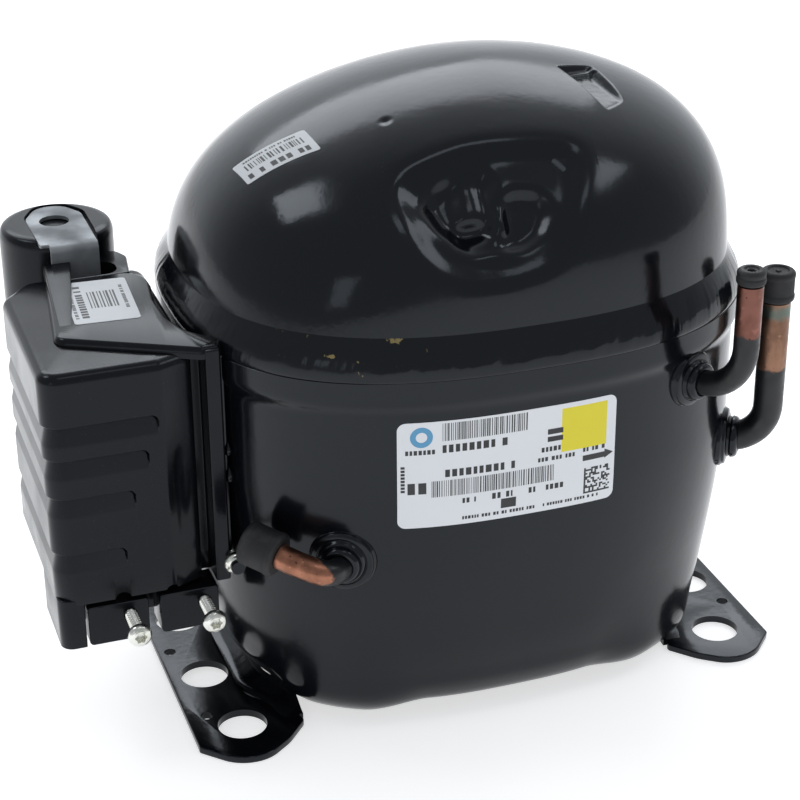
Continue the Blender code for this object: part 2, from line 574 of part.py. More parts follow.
crank = pivot("crank_axis", (0, 0, CYL_Z))
node("rotor", lathe([(SHAFT_R + GAP, 43.0), (24.0, 43.0), (24.0, 46.0), (29.4, 46.4), (29.4, 91.6),
                     (24.0, 92.0), (24.0, 95.0), (SHAFT_R + GAP, 95.0)], (0, 0, 0), count=24, ring=True),
     "aluminium", at=(0, 0, CYL_Z), parent=crank)
node("oil_pickup", lathe([(1.6, 13.0), (3.0, 13.0), (7.5, 26.0), (7.5, 29.7), (5.8, 29.7), (5.8, 27.0)],
                         (0, 0, 0), count=16, ring=True), "steel", at=(0, 0, CYL_Z), parent=crank)
HUB_Z0, HUB_Z1 = 98.0, 128.0
shaft = cylinder((0, 0, 0), (0, 0, 1), SHAFT_R, 30.0, 139.0, 28)
web = prism(rounded([(-11, -11), (11, -11), (12, 15.5), (-12, 15.5)], [6, 6, 6, 6]), 137.8, 142.5)
pin = cylinder((0, CRANK_R, 0), (0, 0, 1), CRANKPIN_R, 142.0, 159.5, 28)
node("crankshaft", combine(shaft, [web, pin], "UNION"), "steel", at=(0, 0, CYL_Z), parent=crank)
fan = [(25.0 * sin(radians(a)), -25.0 * cos(radians(a))) for a in range(-75, 76, 15)]
WEIGHT_Z0, WEIGHT_Z1 = HUB_Z1 + 1.0, 136.6
weight = prism([(-13.0, 4.0)] + fan + [(13.0, 4.0)], WEIGHT_Z0, WEIGHT_Z1)
weight = combine(weight, [cylinder((0, 0, 0), (0, 0, 1), SHAFT_R + GAP, 120, 145, 20)])
weight = combine(weight, [lathe([(SHAFT_R + GAP, WEIGHT_Z0), (13.6, WEIGHT_Z0), (13.6, WEIGHT_Z1),
                                 (SHAFT_R + GAP, WEIGHT_Z1)], (0, 0, 0), count=20, ring=True)], "UNION")
node("counterweight", weight, "iron", at=(0, 0, CYL_Z), parent=crank)

# --- pump -------------------------------------------------------------------------------------
BARREL_X0, BARREL_X1 = 32.0, 58.8
hub = cylinder((0, 0, 0), (0, 0, 1), 17.0, HUB_Z0, HUB_Z1, 32)
deck_plan = [(-56, -42), (-42, -56), (42, -56), (56, -42), (56, 42), (42, 56), (-42, 56), (-56, 42)]
deck = prism(deck_plan, 112.5, 119.5)
windows = [prism(rounded(corners, [5] * 4, 2), 100, 125) for corners in (
    [(-34, -46), (34, -46), (22, -24), (-22, -24)], [(-22, 24), (22, 24), (34, 46), (-34, 46)],
    [(-48, -32), (-26, -18), (-26, 18), (-48, 32)])]
deck = combine(deck, windows)
legs = [box(x - 6, x + 6, y - 6, y + 6, STATOR_Z1 + GAP, 114.0) for x in (-45, 45) for y in (-45, 45)]
barrel = box(BARREL_X0, BARREL_X1, -20, 20, CYL_Z - 18, CYL_Z + 18)
gusset = box(30.0, 56.0, -16, 16, 118.0, CYL_Z - 16)
block = combine(hub, [deck, barrel, gusset] + legs, "UNION")
BOLTS = [(y, CYL_Z + z) for y in (-16.5, 16.5) for z in (-14.5, 14.5)]
BOLT_R = 2.0
bores = [cylinder((0, 0, 0), (0, 0, 1), SHAFT_R + 0.15, 90, 136, 28),
         cylinder((0, 0, CYL_Z), (1, 0, 0), BORE_R, 20, 70, 32)]
bores += [cylinder((0, y, z), (1, 0, 0), BOLT_R + GAP, 42.0, 70, 8) for y, z in BOLTS]
node("crankcase_block", combine(block, bores), "iron")

REACH_ERROR = CRANK_R * (1 - cos(pi / 4)) / 2      # half of the small end's sideways wander
rod_angle = -asin((CRANK_R - REACH_ERROR) / ROD_L)
rod_end = (ROD_L * cos(rod_angle), CRANK_R + ROD_L * sin(rod_angle))
eyes = [lathe([(10.6, 144.0), (10.6, 157.0)], (0, CRANK_R, 0), count=32),
        lathe([(7.8, 146.0), (7.8, 155.0)], (rod_end[0], rod_end[1], 0), count=32)]
lean = Vector((cos(rod_angle), sin(rod_angle)))
across = Vector((-lean.y, lean.x))
foot0, foot1 = Vector((0, CRANK_R)) + lean * 9, Vector((0, CRANK_R)) + lean * (ROD_L - 7)
beam = prism([tuple(foot0 - across * 4.6), tuple(foot1 - across * 3.6), tuple(foot1 + across * 3.6),
              tuple(foot0 + across * 4.6)], 146.5, 154.5)
rod = combine(beam, eyes, "UNION")
rod = combine(rod, [cylinder((0, CRANK_R, 0), (0, 0, 1), CRANKPIN_R + 0.2, 130, 170, 28),
                    cylinder((rod_end[0], rod_end[1], 0), (0, 0, 1), WRIST_R + OPEN_PIVOT, 130, 170, 24)])
crankpin = pivot("crankpin_axis", (0, CRANK_R, CYL_Z))
node("connecting_rod", rod, "aluminium", at=(0, CRANK_R, CYL_Z), parent=crankpin)

stroke = pivot("piston_axis", (SMALL_END_X, 0, CYL_Z))
piston = lathe([(10.6, -14.0), (BORE_R - 0.16, -14.0), (BORE_R - 0.16, 12.6)],
               (SMALL_END_X, 0, CYL_Z), (1, 0, 0), 32)
piston = combine(piston, [cylinder((SMALL_END_X, 0, CYL_Z), (1, 0, 0), 10.4, -20, 9.8, 24),
                          cylinder((SMALL_END_X, 0, CYL_Z), (0, 0, 1), WRIST_R + 0.15, -20, 20, 20)])
node("piston", piston, "iron", at=(SMALL_END_X, 0, CYL_Z), parent=stroke)
node("wrist_pin", cylinder((SMALL_END_X, 0, CYL_Z), (0, 0, 1), WRIST_R, -12.4, 12.4, 20), "steel",
     at=(SMALL_END_X, 0, CYL_Z), parent=stroke)


def flat_plate(x0, x1, inside=None):
    """A plate of the cylinder head's outline with the four bolt holes and, if given, a window."""
    plate = box(x0, x1, -20, 20, CYL_Z - 18, CYL_Z + 18)
    tools = [cylinder((0, y, z), (1, 0, 0), BOLT_R + GAP, x0 - 2, x1 + 2, 8) for y, z in BOLTS]
    if inside:
        tools.append(prism([(y, CYL_Z + z) for y, z in inside], x0 - 1, x1 + 1, "YZ"))
    return combine(plate, tools)


valve_plate = flat_plate(59.1, 62.1)
ports = [cylinder((0, y, CYL_Z + 5), (1, 0, 0), 2.6, 55, 66, 16) for y in (-6.0, 6.0)]
node("valve_plate", combine(valve_plate, ports), "steel")
node("head_gasket", flat_plate(62.4, 63.0, [(-12.5, -11), (12.5, -11), (12.5, 11), (-12.5, 11)]), "gasket")
head = flat_plate(63.3, 73.0)
rooms = [box(60, 70.5, -12.5, -0.8, CYL_Z - 11, CYL_Z + 11),
         box(60, 70.5, 0.8, 12.5, CYL_Z - 11, CYL_Z + 11),
         cylinder((67.0, 6.5, 0), (0, 0, 1), 2.9, CYL_Z - 25, CYL_Z - 5, 12),
         cylinder((67.0, -6.5, CYL_Z), (0, -1, 0), 3.2, -2, 30, 12)]
node("cylinder_head", combine(head, rooms), "aluminium")
for i, (y, z) in enumerate(BOLTS):
    bolt = lathe([(BOLT_R, 45.0), (BOLT_R, 73.3), (3.7, 73.3), (3.7, 76.3)], (0, y, z), (1, 0, 0), 10)
    node("head_bolt_%d" % (i + 1), bolt, "steel")

# the suction reed lifts towards the piston and the discharge reed into the head
for name, y, x0, out in (("suction_reed", -6.0, 58.3, -1), ("discharge_reed", 6.0, 62.4, 1)):
    root_z = CYL_Z - 8.0
    sides, tip_z = (y - 3.4, y + 3.4), root_z + 17
    plan = [(sides[0], root_z), (sides[1], root_z), (sides[1], tip_z), (sides[0], tip_z)]
    reed = prism(rounded(plan, [1, 1, 3, 3]), x0, x0 + 0.4, "YZ")
    node(name, reed, "steel", at=(x0 + 0.2, y, root_z))

muffler = box(18.0, 57.0, -50.0, -22.0, 132.0, 163.0)
bmesh.ops.bevel(muffler, geom=muffler.edges[:], offset=0.004, segments=2, affect="EDGES")
snout = sweep(curve_through([(50, -36, 150), (58, -36, CYL_Z), (65.5, -33, CYL_Z), (67.0, -27, CYL_Z),
                             (67.0, -18.6, CYL_Z)], 3), 2.8, 10)
node("suction_muffler", combine(muffler, [snout], "UNION"), "nylon")

loop = curve_through([spot - away * 14.0, (-36, -62.5, 69.5), (-10, -66.0, 73), (25, -65, 80), (52, -57, 89),
                      (66, -38, 99), (71, -15, 109), (69, 4, 119), (67.2, 6.5, 127), (67.0, 6.5, 132.2)], 4)
node("discharge_loop", sweep(loop, 2.4, 7), "copper")
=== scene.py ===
"""Looks of the hermetic compressor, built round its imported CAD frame.

Lengths are millimetres in the shell's own frame, as in the CAD source: x to the right, y to the back,
z up from the underside of the feet, with the crankshaft on x = y = 0. world() turns them into metres.
"""
import json
from math import pi, radians
import bpy
import bmesh
import numpy as np
from mathutils import Matrix, Vector

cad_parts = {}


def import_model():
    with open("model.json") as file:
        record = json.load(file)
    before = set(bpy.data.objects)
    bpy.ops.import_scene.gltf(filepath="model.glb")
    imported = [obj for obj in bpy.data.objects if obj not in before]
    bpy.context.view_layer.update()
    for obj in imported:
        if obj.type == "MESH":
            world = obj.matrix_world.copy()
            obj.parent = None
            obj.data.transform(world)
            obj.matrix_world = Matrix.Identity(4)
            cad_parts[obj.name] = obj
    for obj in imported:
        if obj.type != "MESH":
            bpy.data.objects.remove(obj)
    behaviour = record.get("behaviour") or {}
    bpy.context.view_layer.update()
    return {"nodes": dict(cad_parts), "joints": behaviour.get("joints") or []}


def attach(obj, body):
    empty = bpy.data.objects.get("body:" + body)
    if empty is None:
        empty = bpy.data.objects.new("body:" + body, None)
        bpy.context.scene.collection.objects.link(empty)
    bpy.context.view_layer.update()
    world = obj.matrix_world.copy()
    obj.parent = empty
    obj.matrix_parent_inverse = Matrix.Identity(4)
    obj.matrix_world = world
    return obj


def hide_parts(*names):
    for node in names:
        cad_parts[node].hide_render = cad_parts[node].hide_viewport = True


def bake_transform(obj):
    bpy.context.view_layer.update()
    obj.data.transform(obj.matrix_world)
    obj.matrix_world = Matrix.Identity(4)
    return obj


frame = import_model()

MM = 0.001
GAP = 0.3
CRANK_AXIS = next(j["pos_m"] for j in frame["joints"] if j["name"] == "crank_turn")
rng = np.random.default_rng(7)

# --- sizes shared with the CAD -----------------------------------------------------------------
SHELL_X, SHELL_A, SHELL_B, SHELL_N, WALL = 3.0, 92.0, 80.0, 2.6, 3.0
FLOOR_Z, LOBE_DROP, EDGE_R = 5.5, 4.0, 14.0
TAPER, TAPER_TOP = 8.5, 87.5
LIP_Z1, SKIRT_Z0 = 129.5, 122.2
DOME_Z0, DOME_Z1, DOME_A, DOME_B = 137.0, 202.5, 89.6, 78.0
DOME_P, DOME_Q, DOME_LEAN = 2.94, 1.72, (13.0, -2.3)
BOX_X0, BOX_X1, BOX_Y0, BOX_Y1 = -139.8, -92.0, -45.0, 30.5
BOX_Z0, BOX_Z1, BOX_RIM = 54.0, 132.5, 2.2
CAP_X, CAP_Y, CAP_R, CAP_TOP, CUP_RIM = -115.3, 53.0, 18.8, 140.8, 143.0
FOLD_Y, FOLD_R = 33.8, 2.4
FOOT_T, FOOT_HOLE_R, SMALL_HOLE_R = 2.5, 8.0, 2.0
FOOT_HOLES = ((85.0, 50.8), (89.5, 18.4), (89.5, -18.4), (85.0, -50.8))
SMALL_HOLES = {-1: ((-97.3, -1.5), (-94.8, -42.5), (-94.8, 42.5)), 1: ((95.6, -35.5), (95.6, 35.5))}
SUCTION_R, PROCESS_R, DISCHARGE_R = 4.8, 4.0, 4.0
TERMINAL = (-89.0, -6.0, 94.0)
COVER_SCREW, EAR_Y, SCREW_HOLE_R = (-83.3, 59.4), -43.5, 2.2
CRADLE_Y, CLAMP_Z0, CLAMP_Z1, CLAMP_Z = -29.0, 38.7, 52.5, 47.6
CLAMPS = {"left": (-131.0, -111.7, -117.6), "right": (-108.1, -89.2, -93.8)}   # two faces and the screw
SPRING_X, SPRING_Y, SPRING_R, SPRING_WIRE = 46.0, 45.0, 7.0, 1.1


def world(points):
    """Millimetres in the shell's frame to metres in the part's frame."""
    points = np.asarray(points, float)
    return points * MM + np.array([CRANK_AXIS[0], CRANK_AXIS[1], 0.0])


# --- mesh tools ----------------------------------------------------------------------------------
def piece(name, verts, faces, mat, body="compressor", replaces=(), sharp=40.0):
    """Make a mesh object from millimetre points. It rides on a CAD body unless body is None."""
    mesh = bpy.data.meshes.new(name)
    mesh.from_pydata([tuple(p) for p in world(verts)], [], faces)
    bm = bmesh.new()
    bm.from_mesh(mesh)
    bmesh.ops.remove_doubles(bm, verts=bm.verts, dist=1e-6)
    bmesh.ops.recalc_face_normals(bm, faces=bm.faces)
    bm.to_mesh(mesh)
    bm.free()
    mesh.shade_smooth()
    mesh.set_sharp_from_angle(angle=radians(sharp))
    ob = bpy.data.objects.new(name, mesh)
    bpy.context.scene.collection.objects.link(ob)
    ob.data.materials.append(mat)
    if body:
        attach(ob, body)
    if replaces:
        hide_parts(*replaces)
    return ob


def skin(rows, loop=False, caps=(True, True)):
    """Faces between rows of points that close on themselves. Ends are capped with one face each."""
    rows = np.asarray(rows, float)
    m, n = rows.shape[:2]
    faces = []
    for i in range(m if loop else m - 1):
        a, b = i * n, ((i + 1) % m) * n
        for j in range(n):
            k = (j + 1) % n
            faces.append((a + j, a + k, b + k, b + j))
    if not loop and caps[0]:
        faces.append(tuple(range(n))[::-1])
    if not loop and caps[1]:
        faces.append(tuple(range((m - 1) * n, m * n)))
    return rows.reshape(-1, 3), faces


def joined(*parts):
    """Several (verts, faces) pairs as one."""
    verts, faces, base = [], [], 0
    for v, f in parts:
        verts.append(np.asarray(v, float))
        faces += [tuple(i + base for i in face) for face in f]
        base += len(v)
    return np.concatenate(verts), faces


def outline(points, radii, step=1.0):
    """A closed outline with rounded corners, sampled evenly."""
    raw = []
    count = len(points)
    for i in range(count):
        p = np.array(points[i], float)
        back = np.array(points[i - 1], float) - p
        on = np.array(points[(i + 1) % count], float) - p
        back, on = back / np.linalg.norm(back), on / np.linalg.norm(on)
        turn = np.arccos(np.clip(back @ on, -1, 1))
        if radii[i] <= 0:
            raw.append(p)
            continue
        reach = radii[i] / np.tan(turn / 2)
        middle = back + on
        centre = p + middle / np.linalg.norm(middle) * radii[i] / np.sin(turn / 2)
        a, b = p + back * reach - centre, p + on * reach - centre
        sweep = np.arctan2(a[0] * b[1] - a[1] * b[0], a @ b)
        for t in np.linspace(0, sweep, 9):
            c, s = np.cos(t), np.sin(t)
            raw.append(centre + np.array([a[0] * c - a[1] * s, a[0] * s + a[1] * c]))
    out = []
    for p, q in zip(raw, raw[1:] + raw[:1]):
        pieces = max(1, int(np.ceil(np.linalg.norm(q - p) / step)))
        out += [p + (q - p) * k / pieces for k in range(pieces)]
    return np.array(out)


def inset(ring, d):
    """Move a closed 2-D outline inwards by d."""
    before, after = np.roll(ring, 1, 0), np.roll(ring, -1, 0)
    e1, e2 = ring - before, after - ring
    e1 /= np.linalg.norm(e1, axis=1, keepdims=True)
    e2 /= np.linalg.norm(e2, axis=1, keepdims=True)
    area = 0.5 * np.sum(ring[:, 0] * after[:, 1] - after[:, 0] * ring[:, 1])
    sign = 1 if area > 0 else -1
    n1 = np.stack([-e1[:, 1], e1[:, 0]], 1) * sign
    n2 = np.stack([-e2[:, 1], e2[:, 0]], 1) * sign
    n = n1 + n2
    n /= np.maximum(1e-9, np.linalg.norm(n, axis=1, keepdims=True))
    mitre = 1 / np.maximum(0.5, (n * n1).sum(1, keepdims=True))
    return ring + n * mitre * d


def place(ring, z, plane="XY"):
    """A 2-D outline as 3-D points at one height of the axis that its plane leaves out."""
    a, b = np.asarray(ring, float).T
    z = np.full(len(ring), z)
    return np.stack({"XY": (a, b, z), "XZ": (a, z, b), "YZ": (z, a, b)}[plane], 1)


def slab(ring, z0, z1, soft=0.4, plane="XY"):
    """A plate with softened edges."""
    steps = [(soft * (1 - np.sin(t)), soft * (1 - np.cos(t))) for t in np.linspace(0, pi / 2, 4)]
    rows = [place(inset(ring, d), z0 + h, plane) for d, h in steps]
    return skin(rows + [place(inset(ring, d), z1 - h, plane) for d, h in steps[::-1]])


def frame_along(axis):
    """A unit vector along an axis and two across it."""
    axis = np.asarray(axis, float) / np.linalg.norm(axis)
    side = np.cross([0, 0, 1], axis)
    side = np.array([1.0, 0, 0]) if np.linalg.norm(side) < 1e-6 else side / np.linalg.norm(side)
    return axis, side, np.cross(axis, side)


def lathe(profile, at, axis=(0, 0, 1), count=64, loop=False):
    """Turn (radius, height) pairs about an axis through `at`."""
    axis, u, v = frame_along(axis)
    t = np.linspace(0, 2 * pi, count, endpoint=False)[:, None]
    rows = [np.asarray(at) + axis * h + (u * np.cos(t) + v * np.sin(t)) * r for r, h in profile]
    return skin(rows, loop)


def drill(at, axis, r, h0, h1, count=32):
    """A cylinder to cut a hole with."""
    return lathe([(r, h0), (r, h1)], at, axis, count)


def rounded_profile(points, radii, steps=5):
    """Soften the corners of an open (radius, height) profile."""
    out = [points[0]]
    for i in range(1, len(points) - 1):
        p, a, b = (np.array(points[k], float) for k in (i, i - 1, i + 1))
        r = min(radii[i], 0.45 * np.linalg.norm(a - p), 0.45 * np.linalg.norm(b - p))
        if r <= 0:
            out.append(tuple(p))
            continue
        a = p + (a - p) / np.linalg.norm(a - p) * r
        b = p + (b - p) / np.linalg.norm(b - p) * r
        for s in np.linspace(0, 1, steps):
            out.append(tuple(a * (1 - s) ** 2 + p * 2 * s * (1 - s) + b * s ** 2))
    return out + [points[-1]]


def smooth_path(points, steps=8):
    """Catmull-Rom through points."""
    p = [np.array(q, float) for q in points]
    p = [2 * p[0] - p[1]] + p + [2 * p[-1] - p[-2]]
    out = []
    for i in range(1, len(p) - 2):
        for s in np.linspace(0, 1, steps, endpoint=False):
            out.append(0.5 * (2 * p[i] + (p[i + 1] - p[i - 1]) * s
                              + (2 * p[i - 1] - 5 * p[i] + 4 * p[i + 1] - p[i + 2]) * s * s
                              + (3 * p[i] - p[i - 1] - 3 * p[i + 1] + p[i + 2]) * s ** 3))
    return np.array(out + [p[-2]])


def sweep(path, radius, count=24, bore=None):
    """A round tube along a path. radius may be one number or one for each point."""
    path = np.asarray(path, float)
    tangent = np.gradient(path, axis=0)
    tangent /= np.linalg.norm(tangent, axis=1, keepdims=True)
    side = frame_along(tangent[0])[1]
    radius = np.broadcast_to(radius, (len(path),))
    t = np.linspace(0, 2 * pi, count, endpoint=False)[:, None]
    frames = []
    for d in tangent:
        side = side - d * (side @ d)
        side /= np.linalg.norm(side)
        frames.append((side, np.cross(d, side)))
    rows = [p + (u * np.cos(t) + v * np.sin(t)) * r for p, (u, v), r in zip(path, frames, radius)]
    if bore is None:
        return skin(rows)
    inner = [p + (u * np.cos(t) + v * np.sin(t)) * bore for p, (u, v) in zip(path, frames)]
    return skin(rows + inner[::-1], loop=True)


def cut(ob, tools):
    """Cut closed (verts, faces) solids out of an object."""
    for verts, faces in tools:
        mesh = bpy.data.meshes.new("cutter")
        mesh.from_pydata([tuple(p) for p in world(verts)], [], faces)
        bm = bmesh.new()
        bm.from_mesh(mesh)
        bmesh.ops.recalc_face_normals(bm, faces=bm.faces)
        bm.to_mesh(mesh)
        bm.free()
        tool = bpy.data.objects.new("cutter", mesh)
        bpy.context.scene.collection.objects.link(tool)
        mod = ob.modifiers.new("cut", "BOOLEAN")
        mod.operation, mod.solver, mod.object = "DIFFERENCE", "EXACT", tool
        bpy.context.view_layer.update()
        result = bpy.data.meshes.new_from_object(ob.evaluated_get(bpy.context.evaluated_depsgraph_get()))
        ob.modifiers.remove(mod)
        ob.data = result
        bpy.data.objects.remove(tool, do_unlink=True)
    ob.data.shade_smooth()
    ob.data.set_sharp_from_angle(angle=radians(30))


def smoothstep(x):
    """0 below 0, 1 above 1 and a smooth rise between."""
    x = np.clip(x, 0, 1)
    return x * x * (3 - 2 * x)


# --- materials -----------------------------------------------------------------------------------
class Shader:
    """A Principled material with a few helpers for its nodes. Coordinates are object space, in metres."""

    def __init__(self, name, colour, rough, metal=0.0, **sockets):
        self.mat = bpy.data.materials.new(name)
        self.mat.use_nodes = True
        self.tree = self.mat.node_tree
        self.bsdf = self.tree.nodes["Principled BSDF"]
        self.bsdf.inputs["Base Color"].default_value = (*colour, 1.0)
        self.bsdf.inputs["Roughness"].default_value = rough
        self.bsdf.inputs["Metallic"].default_value = metal
        for key, value in sockets.items():
            self.bsdf.inputs[key.replace("_", " ")].default_value = value
        self.coords = self.tree.nodes.new("ShaderNodeTexCoord").outputs["Object"]
        self.colour = self.bsdf.inputs["Base Color"]
        self.rough = self.bsdf.inputs["Roughness"]
        self.bump_end = None

    def new(self, kind, **settings):
        node = self.tree.nodes.new(kind)
        for key, value in settings.items():
            setattr(node, key, value)
        return node

    def link(self, a, b):
        self.tree.links.new(a, b)

    def noise(self, scale, detail=3.0, stretch=None, rough=0.5):
        node = self.new("ShaderNodeTexNoise")
        node.inputs["Scale"].default_value = scale
        node.inputs["Detail"].default_value = detail
        node.inputs["Roughness"].default_value = rough
        source = self.coords
        if stretch:
            mapping = self.new("ShaderNodeMapping")
            mapping.inputs["Scale"].default_value = stretch
            self.link(source, mapping.inputs["Vector"])
            source = mapping.outputs["Vector"]
        self.link(source, node.inputs["Vector"])
        return node.outputs["Fac"]

    def ramp(self, value, lo, hi, out_lo=0.0, out_hi=1.0):
        node = self.new("ShaderNodeMapRange", interpolation_type="SMOOTHSTEP")
        for key, number in (("From Min", lo), ("From Max", hi), ("To Min", out_lo), ("To Max", out_hi)):
            node.inputs[key].default_value = number
        self.link(value, node.inputs["Value"])
        return node.outputs["Result"]

    def math(self, how, a, b=None):
        node = self.new("ShaderNodeMath", operation=how)
        for socket, value in zip(node.inputs, (a, b)):
            if value is None:
                continue
            if isinstance(value, (int, float)):
                socket.default_value = value
            else:
                self.link(value, socket)
        return node.outputs[0]

    def mix(self, mask, other, base=None):
        """Lay another colour over the base colour where the mask is 1."""
        node = self.new("ShaderNodeMix", data_type="RGBA")
        self.link(mask, node.inputs["Factor"])
        if self.colour.is_linked:
            self.link(self.colour.links[0].from_socket, node.inputs["A"])
        else:
            node.inputs["A"].default_value = self.colour.default_value
        node.inputs["B"].default_value = (*other, 1.0)
        self.link(node.outputs["Result"], self.colour)

    def set_rough(self, value):
        self.link(value, self.rough)

    def bump(self, height, distance, strength=1.0):
        node = self.new("ShaderNodeBump")
        node.inputs["Distance"].default_value = distance
        node.inputs["Strength"].default_value = strength
        self.link(height, node.inputs["Height"])
        if self.bump_end:
            self.link(self.bump_end, node.inputs["Normal"])
        self.bump_end = node.outputs["Normal"]
        self.link(self.bump_end, self.bsdf.inputs["Normal"])

    def axis(self, index):
        node = self.new("ShaderNodeSeparateXYZ")
        self.link(self.coords, node.inputs[0])
        return node.outputs[index]

    def distance(self, point):
        node = self.new("ShaderNodeVectorMath", operation="DISTANCE")
        self.link(self.coords, node.inputs[0])
        node.inputs[1].default_value = tuple(world(point))
        return node.outputs["Value"]


PAINT_COLOUR, COOL_TINT = (0.0035, 0.004, 0.0055), (0.87, 0.93, 1.0, 1)


def gloss_paint(name="black_paint", flux_at=None):
    """Black dip paint: faint orange peel, dust, dull smudges."""
    s = Shader(name, PAINT_COLOUR, 0.17, Specular_IOR_Level=0.34, Specular_Tint=COOL_TINT)
    s.set_rough(s.ramp(s.noise(28, 4), 0.35, 0.75, 0.11, 0.2))
    s.mix(s.ramp(s.noise(2600, 1), 0.745, 0.78, 0.0, 0.5), (0.05, 0.05, 0.055))
    s.mix(s.ramp(s.noise(9, 3), 0.5, 0.75, 0.0, 0.35), (0.008, 0.0085, 0.0095))
    if flux_at is not None:
        near = s.ramp(s.distance(flux_at), 0.034, 0.012)
        specks = s.ramp(s.noise(300, 4), 0.655, 0.7)
        s.mix(s.math("MULTIPLY", near, specks), (0.22, 0.17, 0.07))
    s.bump(s.noise(420, 2), 0.00006, 0.5)
    s.bump(s.noise(60, 2), 0.0003, 0.25)
    return s.mat


def moulded_plastic():
    """Black plastic with a fine grain, a few pale specks and duller patches."""
    s = Shader("black_plastic", (0.0052, 0.0057, 0.0071), 0.2,
               Specular_IOR_Level=0.22, Specular_Tint=COOL_TINT)
    s.set_rough(s.ramp(s.noise(40, 4), 0.3, 0.75, 0.15, 0.26))
    s.mix(s.ramp(s.noise(14, 4), 0.5, 0.8, 0.0, 0.5), (0.010, 0.0105, 0.0125))
    s.mix(s.ramp(s.noise(1900, 1), 0.74, 0.78, 0.0, 0.4), (0.10, 0.10, 0.10))
    s.bump(s.noise(1500, 2), 0.00003, 0.6)
    return s.mat


def black_rubber():
    """Matt rubber with a grey bloom."""
    s = Shader("black_rubber", (0.013, 0.013, 0.014), 0.62)
    s.set_rough(s.ramp(s.noise(90, 4), 0.3, 0.7, 0.5, 0.75))
    s.mix(s.ramp(s.noise(160, 3), 0.55, 0.75, 0.0, 0.6), (0.035, 0.035, 0.036))
    s.bump(s.noise(900, 3), 0.00008, 0.6)
    return s.mat


def metal(name, colour, rough, spot, grain=(1, 1, 1), scale=300, bump=0.00003):
    """Bare metal whose roughness and colour vary along its grain."""
    s = Shader(name, colour, rough, 1.0)
    s.set_rough(s.ramp(s.noise(scale, 4, grain), 0.25, 0.75, rough * 0.75, rough * 1.35))
    s.mix(s.ramp(s.noise(scale * 0.3, 4, grain), 0.45, 0.75, 0.0, 0.6), spot)
    s.bump(s.noise(scale * 3, 2, grain), bump, 0.5)
    return s.mat


def plain(name, colour, rough, spot, scale=120, bump=0.0001):
    """A dull material with patches of a second colour."""
    s = Shader(name, colour, rough)
    s.set_rough(s.ramp(s.noise(scale, 4), 0.25, 0.75, rough * 0.85, min(1.0, rough * 1.15)))
    s.mix(s.ramp(s.noise(scale * 0.4, 4), 0.45, 0.75, 0.0, 0.6), spot)
    s.bump(s.noise(scale * 6, 2), bump, 0.5)
    return s.mat


def copper_tube(name, colour=(0.24, 0.11, 0.075), painted_below=None, painted_near=None, patina=None):
    """Drawn copper with tarnish; its bend carries the shell's black paint, with an uneven edge."""
    s = Shader(name, colour, 0.36, 1.0)
    dark, pale = (tuple(c * k for c in colour) for k in (0.5, 1.5))
    s.set_rough(s.ramp(s.noise(220, 4), 0.3, 0.7, 0.28, 0.5))
    s.mix(s.ramp(s.noise(150, 5, (1, 1, 0.4)), 0.42, 0.72, 0.0, 0.8), dark)
    s.mix(s.ramp(s.noise(420, 3), 0.6, 0.72, 0.0, 0.6), pale)
    s.mix(s.ramp(s.noise(900, 2), 0.68, 0.74, 0.0, 0.8), (0.015, 0.01, 0.01))
    height = s.axis(2)
    wobble = s.math("MULTIPLY", s.math("SUBTRACT", s.noise(260, 3), 0.5), 0.004)
    edge = 0.5
    if patina:
        band = s.math("ABSOLUTE", s.math("SUBTRACT", s.math("ADD", height, wobble), patina * MM))
        s.mix(s.ramp(band, 0.0032, 0.0006, 0.0, 0.7), (0.10, 0.17, 0.155))
    mask = None
    if painted_below:
        z = s.math("ADD", height, wobble)
        mask = s.ramp(z, (painted_below + edge) * MM, (painted_below - edge) * MM)
    if painted_near is not None:
        point, reach = painted_near
        away = s.math("ADD", s.distance(point), wobble)
        mask = s.ramp(away, (reach + edge) * MM, (reach - edge) * MM)
    if mask is not None:
        s.mix(mask, PAINT_COLOUR)
        node = s.new("ShaderNodeMapRange")
        node.inputs["To Min"].default_value, node.inputs["To Max"].default_value = 1.0, 0.0
        s.link(mask, node.inputs["Value"])
        s.link(node.outputs["Result"], s.bsdf.inputs["Metallic"])
    s.bump(s.noise(500, 3), 0.00006, 0.5)
    return s.mat


def laminated(name, colour):
    """Stacked sheets: fine lines across the height, with rust between them."""
    s = Shader(name, colour, 0.5, 0.8)
    wave = s.new("ShaderNodeTexWave", wave_type="BANDS", bands_direction="Z")
    wave.inputs["Scale"].default_value = 320
    wave.inputs["Distortion"].default_value = 0.6
    s.link(s.coords, wave.inputs["Vector"])
    s.mix(s.ramp(wave.outputs["Fac"], 0.2, 0.6, 0.7, 0.0), (0.05, 0.05, 0.055))
    s.mix(s.ramp(s.noise(60, 4), 0.55, 0.8, 0.0, 0.4), (0.16, 0.10, 0.06))
    s.bump(wave.outputs["Fac"], 0.0001, 0.7)
    return s.mat


def wound_wire(name):
    """Enamelled wire laid round the coil."""
    s = Shader(name, (0.40, 0.14, 0.045), 0.3, 0.7)
    wave = s.new("ShaderNodeTexWave", wave_type="RINGS", rings_direction="Z")
    wave.inputs["Scale"].default_value = 300
    wave.inputs["Distortion"].default_value = 2.0
    wave.inputs["Detail Scale"].default_value = 3.0
    s.link(s.coords, wave.inputs["Vector"])
    s.mix(s.ramp(wave.outputs["Fac"], 0.1, 0.5, 0.8, 0.0), (0.12, 0.035, 0.012))
    s.bump(wave.outputs["Fac"], 0.0003, 0.8)
    return s.mat


